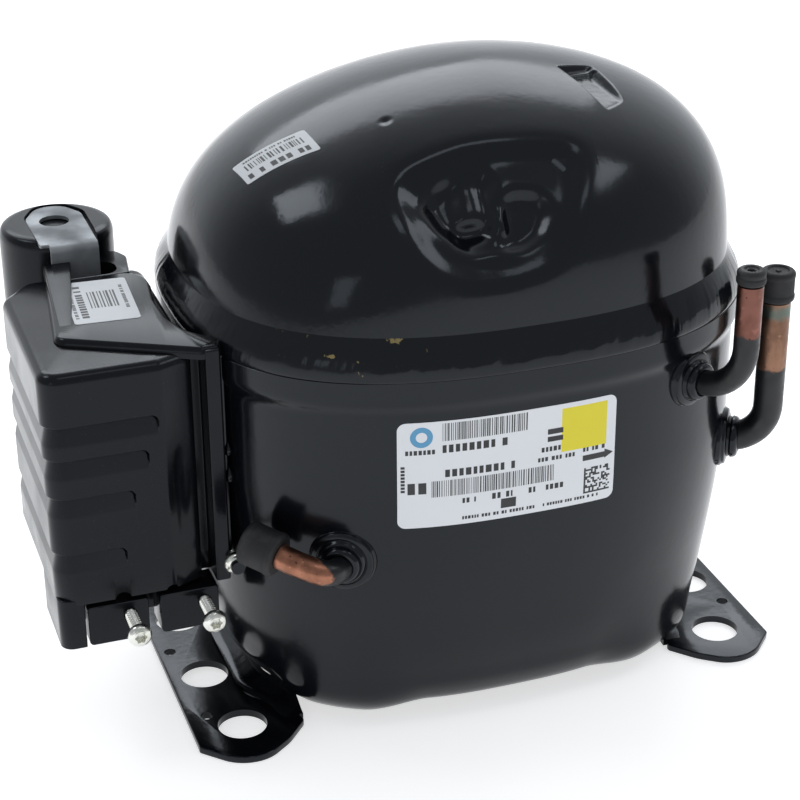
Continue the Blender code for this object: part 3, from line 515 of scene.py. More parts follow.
PAINT = gloss_paint()
BEAD_PAINT = gloss_paint("bead_paint", flux_at=(-50.0, -77.0, 136.5))
PLASTIC = moulded_plastic()
RUBBER = black_rubber()
ZINC = metal("zinc_plate", (0.80, 0.80, 0.75), 0.24, (0.62, 0.63, 0.50), scale=500)
GALVANISED = metal("galvanised", (0.34, 0.355, 0.37), 0.72, (0.32, 0.335, 0.35), scale=90)
STEEL = metal("bright_steel", (0.52, 0.52, 0.52), 0.3, (0.38, 0.38, 0.37), grain=(1, 1, 6))
SPRING_STEEL = metal("spring_steel", (0.20, 0.21, 0.23), 0.3, (0.12, 0.12, 0.13))
IRON = metal("cast_iron", (0.16, 0.16, 0.16), 0.55, (0.09, 0.085, 0.08), scale=220, bump=0.0002)
ALUMINIUM = metal("die_cast_aluminium", (0.62, 0.63, 0.64), 0.4, (0.48, 0.49, 0.5), scale=200, bump=0.00008)
COPPER = copper_tube("copper")
PHENOLIC = plain("black_phenolic", (0.02, 0.019, 0.019), 0.5, (0.04, 0.038, 0.036))
NYLON = plain("natural_nylon", (0.62, 0.59, 0.48), 0.45, (0.5, 0.46, 0.34))
FIBRE = plain("gasket_fibre", (0.09, 0.11, 0.09), 0.8, (0.05, 0.06, 0.05), scale=400)
LAMINATION = laminated("stator_sheets", (0.16, 0.17, 0.19))
WINDING = wound_wire("enamelled_wire")
PAPER = plain("label_white", (0.78, 0.80, 0.83), 0.36, (0.74, 0.76, 0.79), scale=30, bump=0.00001)
TAG_PAPER = plain("tag_white", (0.60, 0.62, 0.64), 0.5, (0.54, 0.56, 0.58), scale=60, bump=0.00001)
INK = plain("label_black", (0.02, 0.02, 0.022), 0.45, (0.035, 0.035, 0.036), scale=300, bump=0.00001)
YELLOW = plain("label_yellow", (0.78, 0.68, 0.02), 0.4, (0.74, 0.64, 0.02), scale=60, bump=0.00001)
BLUE = plain("label_blue", (0.10, 0.33, 0.55), 0.4, (0.08, 0.29, 0.5), scale=60, bump=0.00001)

for material, names in {
        STEEL: ("terminal_header", "common_pin", "start_pin", "run_pin", "crankshaft", "wrist_pin",
                "oil_pickup", "valve_plate", "suction_reed", "discharge_reed",
                "head_bolt_1", "head_bolt_2", "head_bolt_3", "head_bolt_4"),
        IRON: ("crankcase_block", "counterweight", "piston"),
        ALUMINIUM: ("connecting_rod", "cylinder_head"),
        LAMINATION: ("stator_core", "rotor"),
        WINDING: ("lower_winding", "upper_winding"),
        COPPER: ("discharge_loop",),
        PHENOLIC: ("start_relay", "overload_protector", "start_capacitor"),
        NYLON: ("suction_muffler",),
        FIBRE: ("head_gasket",),
        PLASTIC: ("box_base",)}.items():
    for name in names:
        data = frame["nodes"][name].data
        data.materials.clear()
        data.materials.append(material)


# --- shell ---------------------------------------------------------------------------------------
def superellipse(a, b, n, t):
    """Points of a superellipse round the shell's middle, for an array of angles."""
    x, y = (size * np.sign(k) * np.abs(k) ** (2 / n) for size, k in ((a, np.cos(t)), (b, np.sin(t))))
    return np.stack([SHELL_X + x, y], -1)


def angles(count, focus=None, gain=0.0, width=0.5):
    """Angles round the shell, closer together about `focus`."""
    t = np.linspace(-pi / 2 - pi, -pi / 2 + pi, 4001)
    density = np.ones_like(t)
    if focus is not None:
        density += gain * np.exp(-((t - focus) / width) ** 2)
    total = np.concatenate([[0], np.cumsum((density[1:] + density[:-1]) / 2)])
    return np.interp(np.linspace(0, total[-1], count, endpoint=False), total, t)


def wall_a(z):
    """Half length of the lower shell's outside at a height."""
    return SHELL_A - TAPER * (np.maximum(0.0, TAPER_TOP - z) / (TAPER_TOP - 10.5)) ** 1.5


def shell_ring(a, t):
    """The lower shell's outline where its half length is a."""
    return superellipse(a, a + SHELL_B - SHELL_A, SHELL_N, t)


def flare(z):
    """How far the wall stands out under the lip."""
    return LIP_OUT * smoothstep((z - 117.5) / 5.5)


LIP_OUT = 1.5
POCKETS = ((-55, -58), (-55, 58), (58, -58), (58, 58))


def lower_surface(t, inner):
    """Rows of the lower shell from the middle of its floor to the lip. `inner` is the offset inwards."""
    edge_z = FLOOR_Z + EDGE_R
    floor_a = float(wall_a(edge_z)) - EDGE_R
    rows = []
    for share in (0.02, 0.25, 0.5, 0.75, 0.9):
        a, b, n = floor_a * share, (floor_a + SHELL_B - SHELL_A) * share, SHELL_N - 0.4 * (1 - share)
        rows.append((superellipse(a, b, n, t), FLOOR_Z + inner))
    for angle in np.linspace(0, pi / 2, 12):
        ring = shell_ring(floor_a + (EDGE_R - inner) * np.sin(angle), t)
        rows.append((ring, edge_z - (EDGE_R - inner) * np.cos(angle)))
    for z in np.concatenate([np.linspace(23, 112, 30), np.linspace(114, 120.5 if inner else LIP_Z1, 14)]):
        rows.append((shell_ring(wall_a(z) - inner + (0 if inner else flare(z)), t), z))
    out = []
    for ring, height in rows:
        z = np.full(len(t), height)
        near = np.zeros(len(t))
        for px, py in POCKETS:
            d = np.hypot(ring[:, 0] - px, ring[:, 1] - py)
            near = np.maximum(near, smoothstep((30 - d) / 22))
        low = smoothstep((44 - z) / 34)
        z -= LOBE_DROP * near * smoothstep((26 - z) / 16)
        bulge = 1.6 * near * low * smoothstep((z - 4) / 10)
        hollow = 1.1 * (1 - near) * smoothstep((34 - z) / 26) * smoothstep((z - 6) / 8)
        away = ring - np.array([SHELL_X, 0])
        away /= np.maximum(1, np.linalg.norm(away, axis=1, keepdims=True))
        out.append(np.column_stack([ring + away * bulge[:, None] - away * hollow[:, None], z]))
    return out


def on_wall(side, y, z):
    """A point on the lower shell's outside and the way the wall faces there."""
    a, n = float(wall_a(z)), SHELL_N
    b = a + SHELL_B - SHELL_A
    x = a * (1 - abs(y / b) ** n) ** (1 / n)
    out = np.array([side * (x / a) ** (n - 1) / a, abs(y / b) ** (n - 1) / b * np.sign(y), 0.0])
    return np.array([SHELL_X + side * x, y, z]), out / np.linalg.norm(out)


SUCTION = on_wall(1, -48.8, 77.4)
PROCESS = on_wall(1, -70.5, 112.3)
DISCHARGE = on_wall(-1, -68.3, 68.2)


def make_lower_shell():
    """The pot: its outside, the rounded edge of its lip, the bore for the dome and its inside."""
    t = angles(360)
    lip = [place(shell_ring(SHELL_A + LIP_OUT - d, t), LIP_Z1 + h)
           for d, h in ((0.15, 0.1), (0.5, 0.35), (1.0, 0.45))]
    bore = [place(superellipse(DOME_A + GAP, DOME_B + GAP, SHELL_N, t), z) for z in (LIP_Z1 + 0.3, 122.0)]
    rows = lower_surface(t, 0.0) + lip + bore + lower_surface(t, WALL)[::-1]
    ob = piece("lower_shell_skin", *skin(rows), PAINT, replaces=["lower_shell"])
    ports = ((SUCTION, SUCTION_R), (PROCESS, PROCESS_R), (DISCHARGE, DISCHARGE_R))
    holes = [drill(at, out, r + GAP, -12, 6) for (at, out), r in ports]
    cut(ob, holes + [drill(TERMINAL, (-1, 0, 0), 15.3, -10, 12, 48)])


def inside(points, corners):
    """Which 2-D points lie inside a polygon."""
    x, y = points[..., 0], points[..., 1]
    hit = np.zeros(x.shape, bool)
    for (ax, ay), (bx, by) in zip(corners, corners[1:] + corners[:1]):
        cross = (ay > y) != (by > y)
        hit ^= cross & (x < ax + (y - ay) / (by - ay + 1e-12) * (bx - ax))
    return hit


def blurred(field, sigma):
    """A Gaussian blur of a square field, sigma in cells."""
    reach = int(3 * sigma) + 1
    kernel = np.exp(-0.5 * (np.arange(-reach, reach + 1) / sigma) ** 2)
    kernel /= kernel.sum()
    for axis in (0, 1):
        field = np.apply_along_axis(lambda row: np.convolve(row, kernel, "same"), axis, field)
    return field


# The bowl is drawn on the plane that touches the dome at BOWL_AT: (outline, depth, softness of its wall)
BOWL_AT, BOWL_NORMAL = (-5.0, -67.0, 175.0), (-0.08, -0.77, 0.63)
BOWL = (
    ([(-27, 8.5), (-24.5, 14.5), (-14, 18.5), (-4, 21), (16, 20.5), (28, 18.5), (25.5, 7), (20, -8.5),
      (12.5, -15.5), (1.4, -18), (-9.5, -17.5), (-17.5, -14.5), (-23, -7.5)], 4.4, 2.9),
    ([(-20, 6.5), (-16.5, 11), (-9.5, 13.7), (-1.2, 14.5), (0.2, 11), (-0.3, 3), (-1, -5), (-10, -7),
      (-16, -3)], 5.2, 2.2),
    ([(2.2, 4.4), (7, 6.9), (14.5, 5.8), (17, 0.5), (13.4, -6.3), (7.5, -10), (3.2, -9.8)], 4.0, 1.7),
    ([(-9.5, 14.0), (-3.5, 14.0), (-3.0, -0.5), (-10.5, -0.5)], -2.4, 1.5),
    ([(-12.5, -0.8), (-2.6, -1.0), (-0.2, -4.6), (3.4, -5.4), (4.0, -10.2), (-8.2, -10.6), (-12.2, -7)],
     1.9, 1.3),
    ([(0.6, -0.5), (2.6, 3.2), (4.8, 4.2), (2.8, 0.6), (3.2, -5.6), (1.6, -5.2)], -0.8, 0.9),
)
FIELD_HALF, CELL = 34.0, 0.25           # half width and step of the grid that the bowl is drawn on


def bowl_depth(u, v):
    """Depth of the bowl at offsets on its plane."""
    ticks = np.arange(-FIELD_HALF, FIELD_HALF + CELL, CELL)
    grid = np.stack(np.meshgrid(ticks, ticks, indexing="ij"), -1)
    field = sum(depth * blurred(inside(grid, corners).astype(float), soft / CELL)
                for corners, depth, soft in BOWL)
    i = np.clip((u + FIELD_HALF) / CELL, 0, len(ticks) - 1.001)
    j = np.clip((v + FIELD_HALF) / CELL, 0, len(ticks) - 1.001)
    i0, j0 = i.astype(int), j.astype(int)
    fi, fj = i - i0, j - j0
    return ((1 - fi) * (1 - fj) * field[i0, j0] + fi * (1 - fj) * field[i0 + 1, j0]
            + (1 - fi) * fj * field[i0, j0 + 1] + fi * fj * field[i0 + 1, j0 + 1])


def press_bowl(points):
    """Push points of the dome in along the bowl's normal."""
    normal = np.array(BOWL_NORMAL) / np.linalg.norm(BOWL_NORMAL)
    u = np.cross([0, 0, 1], normal)
    u /= np.linalg.norm(u)
    v = np.cross(normal, u)
    q = points - np.array(BOWL_AT)
    near = (np.abs(q @ u) < FIELD_HALF) & (np.abs(q @ v) < FIELD_HALF) & (q @ normal > -22)
    push = np.zeros(len(points))
    push[near] = bowl_depth(q[near] @ u, q[near] @ v)
    return points - normal * push[:, None]


# The slot: a flat floor that meets the dome at its front end and lies 3.9 mm under it at its back left corner
SLOT = np.array([(34.9, -15.4), (47.5, -12.4), (49.7, -33.7), (41.5, -39.5)])
SLOT_DEPTH, SLOT_LEDGE, SLOT_LEDGE_LONG = 3.9, 1.3, 3.2


def edge_distance(points, a, b):
    """Signed distance of 2-D points from the line a-b, positive on its left."""
    along = (b - a) / np.linalg.norm(b - a)
    q = points - a
    return along[0] * q[:, 1] - along[1] * q[:, 0]


def press_slot(points):
    """Press the slot's floor down into points of the dome."""
    xy = points[:, :2]
    back = edge_distance(xy, SLOT[1], SLOT[0])
    left = edge_distance(xy, SLOT[0], SLOT[3])
    right = edge_distance(xy, SLOT[2], SLOT[1])
    front = edge_distance(xy, SLOT[3], SLOT[2])
    z_front, z_back = dome_height(*SLOT[3]), dome_height(*SLOT[0])
    span = edge_distance(SLOT[:1], SLOT[3], SLOT[2])[0]
    floor = z_front + (z_back - SLOT_DEPTH - z_front) * front / span
    floor += SLOT_LEDGE * smoothstep((SLOT_LEDGE_LONG - back) / 0.9)
    mask = smoothstep((back + 0.3) / 1.1) * smoothstep((left + 0.2) / 0.9) * smoothstep((right + 1.2) / 3.2)
    mask *= smoothstep((front + 1.5) / 3.0) * (points[:, 2] > 180)
    out = points.copy()
    out[:, 2] -= mask * np.maximum(0.0, points[:, 2] - floor)
    return out


def dome_width(s):
    """The dome's width as a share of its base's, at share s of its height."""
    return (1 - s ** DOME_P) ** (1 / DOME_Q)


def dome_shape(s):
    """The squareness of the dome's outline, and where its middle is, at share s of its height."""
    return SHELL_N - (SHELL_N - 1.9) * s ** 0.7, np.array(DOME_LEAN) * s ** 1.5


def dome_height(x, y):
    """Height of the plain dome over a point, by halving."""
    lo, hi = 0.02, 0.9999
    for _ in range(40):
        s = (lo + hi) / 2
        r = dome_width(s)
        n, middle = dome_shape(s)
        dx = abs(x - SHELL_X - middle[0]) / (DOME_A * r)
        dy = abs(y - middle[1]) / (DOME_B * r)
        if dx ** n + dy ** n > 1:
            hi = s
        else:
            lo = s
    return DOME_Z0 + (DOME_Z1 - DOME_Z0) * lo


DIMPLE_AT, DIMPLE_OUT = np.array([-26.3, -28.0, 193.1]), np.array([-0.26, -0.23, 0.94])


def make_upper_shell():
    """The dome with its pressed shapes, its skirt inside the lip, and its inside."""
    theta = np.linspace(0, pi / 2, 3000)
    s, r = np.sin(theta) ** (2 / DOME_P), np.cos(theta) ** (2 / DOME_Q)
    steps = np.hypot(np.diff(s) * (DOME_Z1 - DOME_Z0), np.diff(r) * DOME_A)
    along = np.concatenate([[0], np.cumsum(steps)])

    def surface(rows, t, off):
        want = np.linspace(0, along[-1] * 0.9985, rows)
        out = []
        for sk, rk in zip(np.interp(want, along, s), np.interp(want, along, r)):
            n, middle = dome_shape(sk)
            ring = superellipse((DOME_A - off) * rk, (DOME_B - off) * rk, n, t) + middle
            out.append(place(ring, DOME_Z0 + (DOME_Z1 - off - DOME_Z0) * sk))
        return out

    def skirt(off):
        return [place(superellipse(DOME_A - off, DOME_B - off, SHELL_N, t), z) for z in (SKIRT_Z0, LIP_Z1)]

    t = angles(560, -pi / 2 + 0.15, 2.2, 0.75)
    rows = surface(200, t, 0.0)
    points = press_slot(press_bowl(np.concatenate(rows)))
    # a small dimple left by the press
    away = np.linalg.norm(points - DIMPLE_AT, axis=1)
    points -= DIMPLE_OUT * (0.5 * smoothstep((2.4 - away) / 2.4))[:, None]
    outer = list(points.reshape(len(rows), len(t), 3))
    inner = []
    for row in surface(40, t, WALL):
        away = np.linalg.norm(row - np.array(BOWL_AT), axis=1)
        inner.append(row - np.array(BOWL_NORMAL) * (8.5 * smoothstep((30 - away) / 20))[:, None])
    body = skin(inner[::-1] + skirt(WALL)[::-1] + skirt(0.0) + outer)
    piece("upper_shell_skin", *body, PAINT, replaces=["upper_shell"])


def dome_ring(z, t):
    """The dome's outline at a height."""
    s = max(0.0, (z - DOME_Z0) / (DOME_Z1 - DOME_Z0))
    n, middle = dome_shape(s)
    return superellipse(DOME_A * dome_width(s), DOME_B * dome_width(s), n, t) + middle


# (distance out from the dome, height) of the bead's section
BEAD = ((3.60, 129.4), (3.90, 129.9), (4.06, 130.8), (4.02, 132.0), (3.75, 133.4), (3.3, 134.9), (2.7, 136.5),
        (2.0, 138.1), (1.3, 139.6), (0.68, 140.8), (0.24, 141.7), (0.0, 142.3), (-0.12, 142.7))


def make_weld_bead():
    """The welded seam: it fills the lip and runs out on the dome, with small uneven ripples."""
    t = angles(1500)
    base = dome_ring(DOME_Z0, t)
    step = np.linalg.norm(np.roll(base, -1, 0) - base, axis=1)
    arc = np.concatenate([[0], np.cumsum(step)[:-1]])
    outward = base - inset(base, 1.0)
    waves = ((1.9, 0.3), (3.1, 2.0), (7.4, 1.1), (13.0, 4.0))
    lumps = sum(np.sin(arc / length + phase) for length, phase in waves)
    fine = np.convolve(rng.normal(0, 1, len(t)), np.ones(5) / 5, "same")
    rows = []
    for out, z in BEAD:
        swell = np.sin(pi * np.clip((z - 129.6) / 12.0, 0, 1))
        shift = np.roll(lumps, int(4 * (z - 130))) * 0.05 + np.roll(fine, int(z - 130)) * 0.09
        ring = dome_ring(z, t) + outward * (out + shift * swell)[:, None]
        rows.append(np.column_stack([ring, z + 0.12 * swell * np.sin(arc / 9.1)]))
    for out, z in ((0.0, 141.2), (GAP, 139.6), (GAP, LIP_Z1 + GAP)):
        rows.append(place(dome_ring(z, t) + outward * out, z))
    piece("weld_bead_rippled", *skin(rows, loop=True), BEAD_PAINT,
          replaces=["weld_bead"], sharp=75)


# --- feet ----------------------------------------------------------------------------------------
def make_foot(name, side, node):
    """A pressed plate with grommet holes. Its inner edge turns up to the shell in a soft curve."""
    half = [(101.3, 58.6), (90.5, 69.9), (80.3, 68.9), (72.3, 62.9), (65.0, 54.5), (69.0, 46.0), (80.5, 34.0)]
    radii = [1.5, 14, 12, 20, 2, 6, 14]
    front = [(side * x, -y) for x, y in half]
    back = [(side * x, y) for x, y in half][::-1]
    plate = slab(outline(front + back, radii + radii[::-1], 1.5), 0.0, FOOT_T, 0.45)
    ob = piece(name, *plate, PAINT, replaces=[node], sharp=35)
    up = (0, 0, 1)
    holes = [drill((side * x, y, 0), up, FOOT_HOLE_R, -3, 6, 64) for x, y in FOOT_HOLES]
    cut(ob, holes + [drill((x, y, 0), up, SMALL_HOLE_R, -3, 6) for x, y in SMALL_HOLES[side]])
    rows = []
    rise, half_long = 3.6 if side < 0 else 2.0, 52
    for y in np.linspace(-half_long, half_long, 80):
        end = smoothstep((half_long - abs(y)) / 12.0)
        start = 78.8 - 7.4 * smoothstep((abs(y) - 24) / 22)
        t = np.linspace(0, 1, 9)
        line = np.column_stack([start + 2.4 - 9.0 * t, 1.35 + (0.3 + rise * end) * smoothstep(t * 0.8) / 0.9])
        ring = np.vstack([line + [0, 1.1], (line - [0, 1.1])[::-1]])
        rows.append(np.column_stack([side * ring[:, 0], np.full(len(ring), y), ring[:, 1]]))
    piece(name + "_turned_edge", *skin(rows), PAINT, sharp=50)


# --- pipes ---------------------------------------------------------------------------------------
def elbow(port, reach, bend, top):
    """Out of the wall, round a bend and straight up."""
    at, out = port
    path = [at - out * 9, at + out * (reach - bend) * 0.5]
    for t in np.linspace(0, pi / 2, 14):
        path.append(at + out * (reach - bend + bend * np.sin(t)) + np.array([0, 0, bend * (1 - np.cos(t))]))
    end = path[-1]
    path += [np.array([end[0], end[1], z]) for z in np.linspace(end[2] + 3, top, 6)]
    return np.array(path)


def make_collar(name, port, r_pipe, r_out, node):
    """A pressed boss in three steps, blended into the wall by paint."""
    bore = r_pipe + 0.35
    profile = [(bore, -1.0), (r_out + 0.9, -1.6), (r_out + 0.6, 0.2), (r_out, 0.7), (r_out - 0.2, 1.6),
               (r_out - 1.9, 2.1), (r_out - 2.3, 1.7), (r_out - 2.9, 2.9), (r_out - 3.4, 3.3),
               (r_pipe + 2.3, 3.0), (r_pipe + 2.0, 4.6), (r_pipe + 1.2, 5.4), (bore, 5.5)]
    soft = rounded_profile(profile, [0] + [0.5] * (len(profile) - 2) + [0], 4)
    piece(name, *lathe(soft, *port, 72, loop=True), PAINT, replaces=[node], sharp=60)


def make_plug(name, at, axis, bore, r_head, length, node, hole=None):
    """A rubber stopper: a rolled skirt and a dished top with a centre pip, or with a hole."""
    stem = bore - 0.4
    profile = [(0.01, -5), (stem * 0.7, -5), (stem, -4), (stem, 0.35),
               (r_head * 0.9, 0.3), (r_head + 0.25, 1.0), (r_head + 0.25, 2.4), (r_head, 2.9),
               (r_head, length - 2.6), (r_head + 0.15, length - 2.2),
               (r_head + 0.15, length - 1.2), (r_head - 0.7, length - 0.4), (r_head - 1.9, length - 0.3),
               (r_head - 2.3, length - 0.9)]
    if hole:
        profile += [(hole + 0.2, length - 1.0), (hole, length - 1.4), (hole, length - 4.0),
                    (0.01, length - 4.2)]
    else:
        profile += [(1.0, length - 1.0), (0.8, length - 0.5), (0.01, length - 0.5)]
    soft = rounded_profile(profile, [0] + [0.45] * (len(profile) - 2) + [0], 4)
    piece(name, *lathe(soft, at, axis, 64), RUBBER, replaces=[node], sharp=60)


def make_stub(name, port, path, r, wall, mat, boss_r, plug):
    """A copper tube through the shell's wall, with its boss and its plug: (head radius, length, hole)."""
    piece(name + "_tube", *sweep(path, r, 40, r - wall), mat, replaces=[name + "_pipe"])
    make_collar(name + "_boss", port, r, boss_r, name + "_collar")
    head_r, length, hole = plug
    make_plug(name + "_stopper", path[-1], path[-1] - path[-2], r - wall, head_r, length,
              name + "_plug", hole)


def make_pipes():
    """The three stubs. The suction tube is the larger one, on the right."""
    mat = copper_tube("suction_copper", (0.27, 0.15, 0.10), painted_below=104.5, patina=125.0)
    path = elbow(SUCTION, 14.2, 13.0, 127.8)
    make_stub("suction", SUCTION, path, SUCTION_R, 0.9, mat, 9.5, (5.5, 11.0, None))

    mat = copper_tube("process_copper", (0.20, 0.09, 0.07), painted_below=134.0)
    path = elbow(PROCESS, 20.0, 17.0, 150.0)
    make_stub("process", PROCESS, path, PROCESS_R, 0.8, mat, 8.8, (4.3, 5.6, 1.1))

    at, out = DISCHARGE
    mat = copper_tube("discharge_copper", (0.40, 0.18, 0.115), painted_near=(at + out * 3.0, 11.5))
    path = smooth_path([at - out * 9, at, at + out * 6.0, (-63.0, -76.6, 69.4), (-69.2, -73.0, 71.0),
                        (-74.7, -67.3, 72.5)], 7)
    make_stub("discharge", DISCHARGE, path, DISCHARGE_R, 0.8, mat, 10.0, (6.9, 12.5, None))


# --- terminal box --------------------------------------------------------------------------------
RIBS = ((115.4, -104.9), (104.3, -108.4), (91.3, -113.4), (72.0, -117.3))       # (z of the top, x of the end)
RIB_TALL, RIB_DEEP, RIB_HOOK, ROOF_R = 6.8, 1.5, 2.4, 3.4
STRAP_SLOT_Y0, STRAP_SLOT_Y1 = 22.6, 33.3
# heights of the mesh's rows about the top of a rib, closest where it is pressed in sharply
RIB_ROWS = (0.45, 0.3, 0.18, 0.06, -0.06, -0.18, -0.3, -0.42, -0.6, -0.8, -1.0, -1.2, -1.4, -1.6, -1.8, -2.0,
            -2.2, -2.5, -2.9, -3.6, -4.4, -5.2, -6.0, -6.6, -7.1)


def rib_depth(plan, z):
    """How far the cover's side is pressed in: a sharp line at the top of each rib, running out below it."""
    x, y = plan[:, 0], plan[:, 1]
    depth = np.zeros(len(plan))
    for z0, x_end in RIBS:
        beyond = np.where(y < BOX_Y0 + 9, np.maximum(0, x - (x_end - RIB_HOOK)), 0.0)
        below = RIB_HOOK - np.hypot(beyond, max(0.0, z - (z0 - RIB_HOOK)))
        back_end = np.where(y < BOX_Y0 + 9, 1.0, smoothstep((24.0 - y) / 3.0) * (x < -130))
        fall = np.clip(1 - (z0 - z) / RIB_TALL, 0, 1) * (z < z0 + 1)
        press = RIB_DEEP * smoothstep((below + 0.1) / 0.5) * fall
        line = 0.75 * np.exp(-((below - 0.22) / 0.17) ** 2) * smoothstep(fall * 2.2 - 0.6)
        depth = np.maximum(depth, (press + line) * back_end)
    # a long shallow hollow by the front's right edge
    hollow = ((x + 98.6) / 2.6) ** 2 + ((z - 91.0) / 13.0) ** 2
    return depth + np.where(y < -40, 0.45 * smoothstep(1 - hollow), 0.0)


def refined(ring, x0, x1, y_most, pieces):
    """Divide the edges of an outline that lie in one stretch of its front."""
    out = []
    for p, q in zip(ring, np.roll(ring, -1, 0)):
        count = pieces if x0 < p[0] < x1 and p[1] < y_most else 1
        out += [p + (q - p) * k / count for k in range(count)]
    return np.array(out)


def make_terminal_cover():
    """The ribbed cover, hollow and open below, and the raised deck, ramp and column on it."""
    corners = [(BOX_X0, BOX_Y0), (-103.5, BOX_Y0), (-93.2, -40.8), (BOX_X1, -34.0), (BOX_X1, BOX_Y1),
               (-130.6, BOX_Y1), (BOX_X0, 19.5)]
    plan = refined(outline(corners, [6.5, 5, 3.6, 4, 5, 5, 5], 0.8), -121.0, -104.0, BOX_Y0 + 1, 5)
    zs = [BOX_Z0 + 0.4] + [z0 + h for z0, _ in RIBS[::-1] for h in RIB_ROWS[::-1]] + [119.0, 123.0, 127.0]
    inward = inset(plan, 0.5) - plan
    rows = [place(inset(plan, 0.5), BOX_Z0), place(inset(plan, 0.12), BOX_Z0 + 0.12)]
    rows += [place(plan + inward * (2 * rib_depth(plan, z))[:, None], z) for z in zs]
    rows += [place(inset(plan, ROOF_R * (1 - np.cos(t))), BOX_Z1 - ROOF_R * (1 - np.sin(t)))
             for t in np.linspace(0, pi / 2, 11)]
    ob = piece("terminal_cover_walls", *skin(rows), PLASTIC, replaces=["terminal_cover"],
               sharp=38)
    x0, y0, y1 = BOX_X0 + 3.6, BOX_Y0 + 3.6, BOX_Y1 - 2.6
    hollow = outline([(x0, y0), (-104.0, y0), (-96.5, -36.5), (-98.6, -16.0), (-98.6, y1), (-129.6, y1),
                      (x0, 18.0)], [4, 2, 2, 2, 3, 3, 3], 3.0)
    cut(ob, [skin([place(hollow, BOX_Z0 - 3), place(hollow, 128.0)]), strap_slot(129.2)])
    for x, radius in ((-119.5, 2.6), (-103.8, 2.0)):
        cut(ob, [drill((x, BOX_Y0 - 0.2, BOX_Z0 - 0.4), (0, 1, 0), radius, -3, 5, 40)])

    deck_y1 = STRAP_SLOT_Y0 - 0.2
    deck = outline([(-125.2, deck_y1), (-130.9, -22.8), (-90.6, -44.6), (-84.8, -44.4), (-82.4, -39.0),
                    (-91.2, -28.4), (-94.4, -17.6), (-94.9, -2.8), (-93.2, 10.6), (-93.4, deck_y1)],
                   [0, 5, 0.8, 1.2, 1.5, 8, 8, 12, 12, 8], 0.7)
    rise = [(0.0, -1.4), (0.0, 0.1), (0.12, 0.7), (0.6, 1.5), (1.0, 1.95), (1.7, BOX_RIM)]
    platform = skin([place(inset(deck, d), BOX_Z1 + h) for d, h in rise])
    ramp = []
    deck_z = BOX_Z1 + BOX_RIM
    for k in np.linspace(0, 1, 14):
        y, left, right, tall = -16.0 + 47.0 * k, -128.6 + 3.9 * k, -123.6 + 8.6 * k, -0.1 + 2.2 * k
        foot, top = deck_z - 1.4, deck_z + tall
        ramp.append([(left + 0.5, y, foot), (left + 0.6, y, top - 0.5), (left + 0.85, y, top - 0.12),
                     (left + 1.2, y, top), (right - 0.7, y, top), (right - 0.25, y, top - 0.15),
                     (right - 0.05, y, top - 0.5), (right, y, foot)])
    column = outline([(-89.6, BOX_Y0), (-84.9, BOX_Y0), (-84.9, -37.0), (-86.5, -34.5), (-93.6, -34.5),
                      (-93.6, -36.2), (-89.6, -36.2)], [0.7, 0.8, 1, 1, 0.5, 0.5, 0.5], 0.8)
    leg = outline([(BOX_X0 + 0.1, -18.0), (BOX_X0 + 0.1, BOX_Y0 + 0.1), (-131.8, BOX_Y0 + 0.1),
                   (-131.8, BOX_Y0 + 2.4), (-137.5, BOX_Y0 + 2.4), (-137.5, -18.0)],
                  [0, 4, 0.5, 0.5, 1, 0.5], 0.8)
    parts = [platform, skin(ramp), slab(column, BOX_Z0, 133.9, 0.5), slab(leg, 38.5, BOX_Z0 + 2.0, 0.4)]
    piece("terminal_cover_top", *joined(*parts), PLASTIC, sharp=38)


def strap_slot(z0):
    """Cuts the deep slot behind the deck that the strap's leg goes down."""
    corners = [(-121.6, STRAP_SLOT_Y0), (-100.8, STRAP_SLOT_Y0), (-100.8, STRAP_SLOT_Y1),
               (-121.6, STRAP_SLOT_Y1)]
    ring = outline(corners, [1, 4.5, 4.5, 1], 0.6)
    return skin([place(ring, z) for z in (z0, 140.0)])


def make_holder():
    """The rounded holder at the back of the cover, which takes the strap's leg."""
    curl = [(-99.2, 44.6), (-105.0, 38.4), (-112.0, 33.9), (-123.5, 34.8)]
    top_ring = outline([(-124.0, STRAP_SLOT_Y0 - 0.8), (-97.6, STRAP_SLOT_Y0 - 0.8), (-95.6, 36.0)] + curl,
                       [1.2, 1.2, 4.5, 3.2, 3, 2, 1.2], 0.6)
    top = slab(top_ring, 129.4, BOX_Z1 + BOX_RIM - 0.3, 0.6)
    ob = piece("capacitor_holder_top", *top, PLASTIC, sharp=38)
    cut(ob, [strap_slot(126.0)])
    ring = outline([(-123.5, BOX_Y1 - 0.3), (-97.0, BOX_Y1 - 0.3), (-95.6, 37.0)] + curl,
                   [1, 1, 4, 3.2, 3, 2, 1], 0.6)
    ob = piece("capacitor_holder", *slab(ring, 108.0, 129.9, 0.5), PLASTIC, sharp=38)
    leg_room = outline([(-121.6, 30.9), (-100.2, 30.9), (-100.2, STRAP_SLOT_Y1), (-121.6, STRAP_SLOT_Y1)],
                       [0.6] * 4, 0.5)
    cut(ob, [skin([place(leg_room, z) for z in (112.0, 140.0)])])


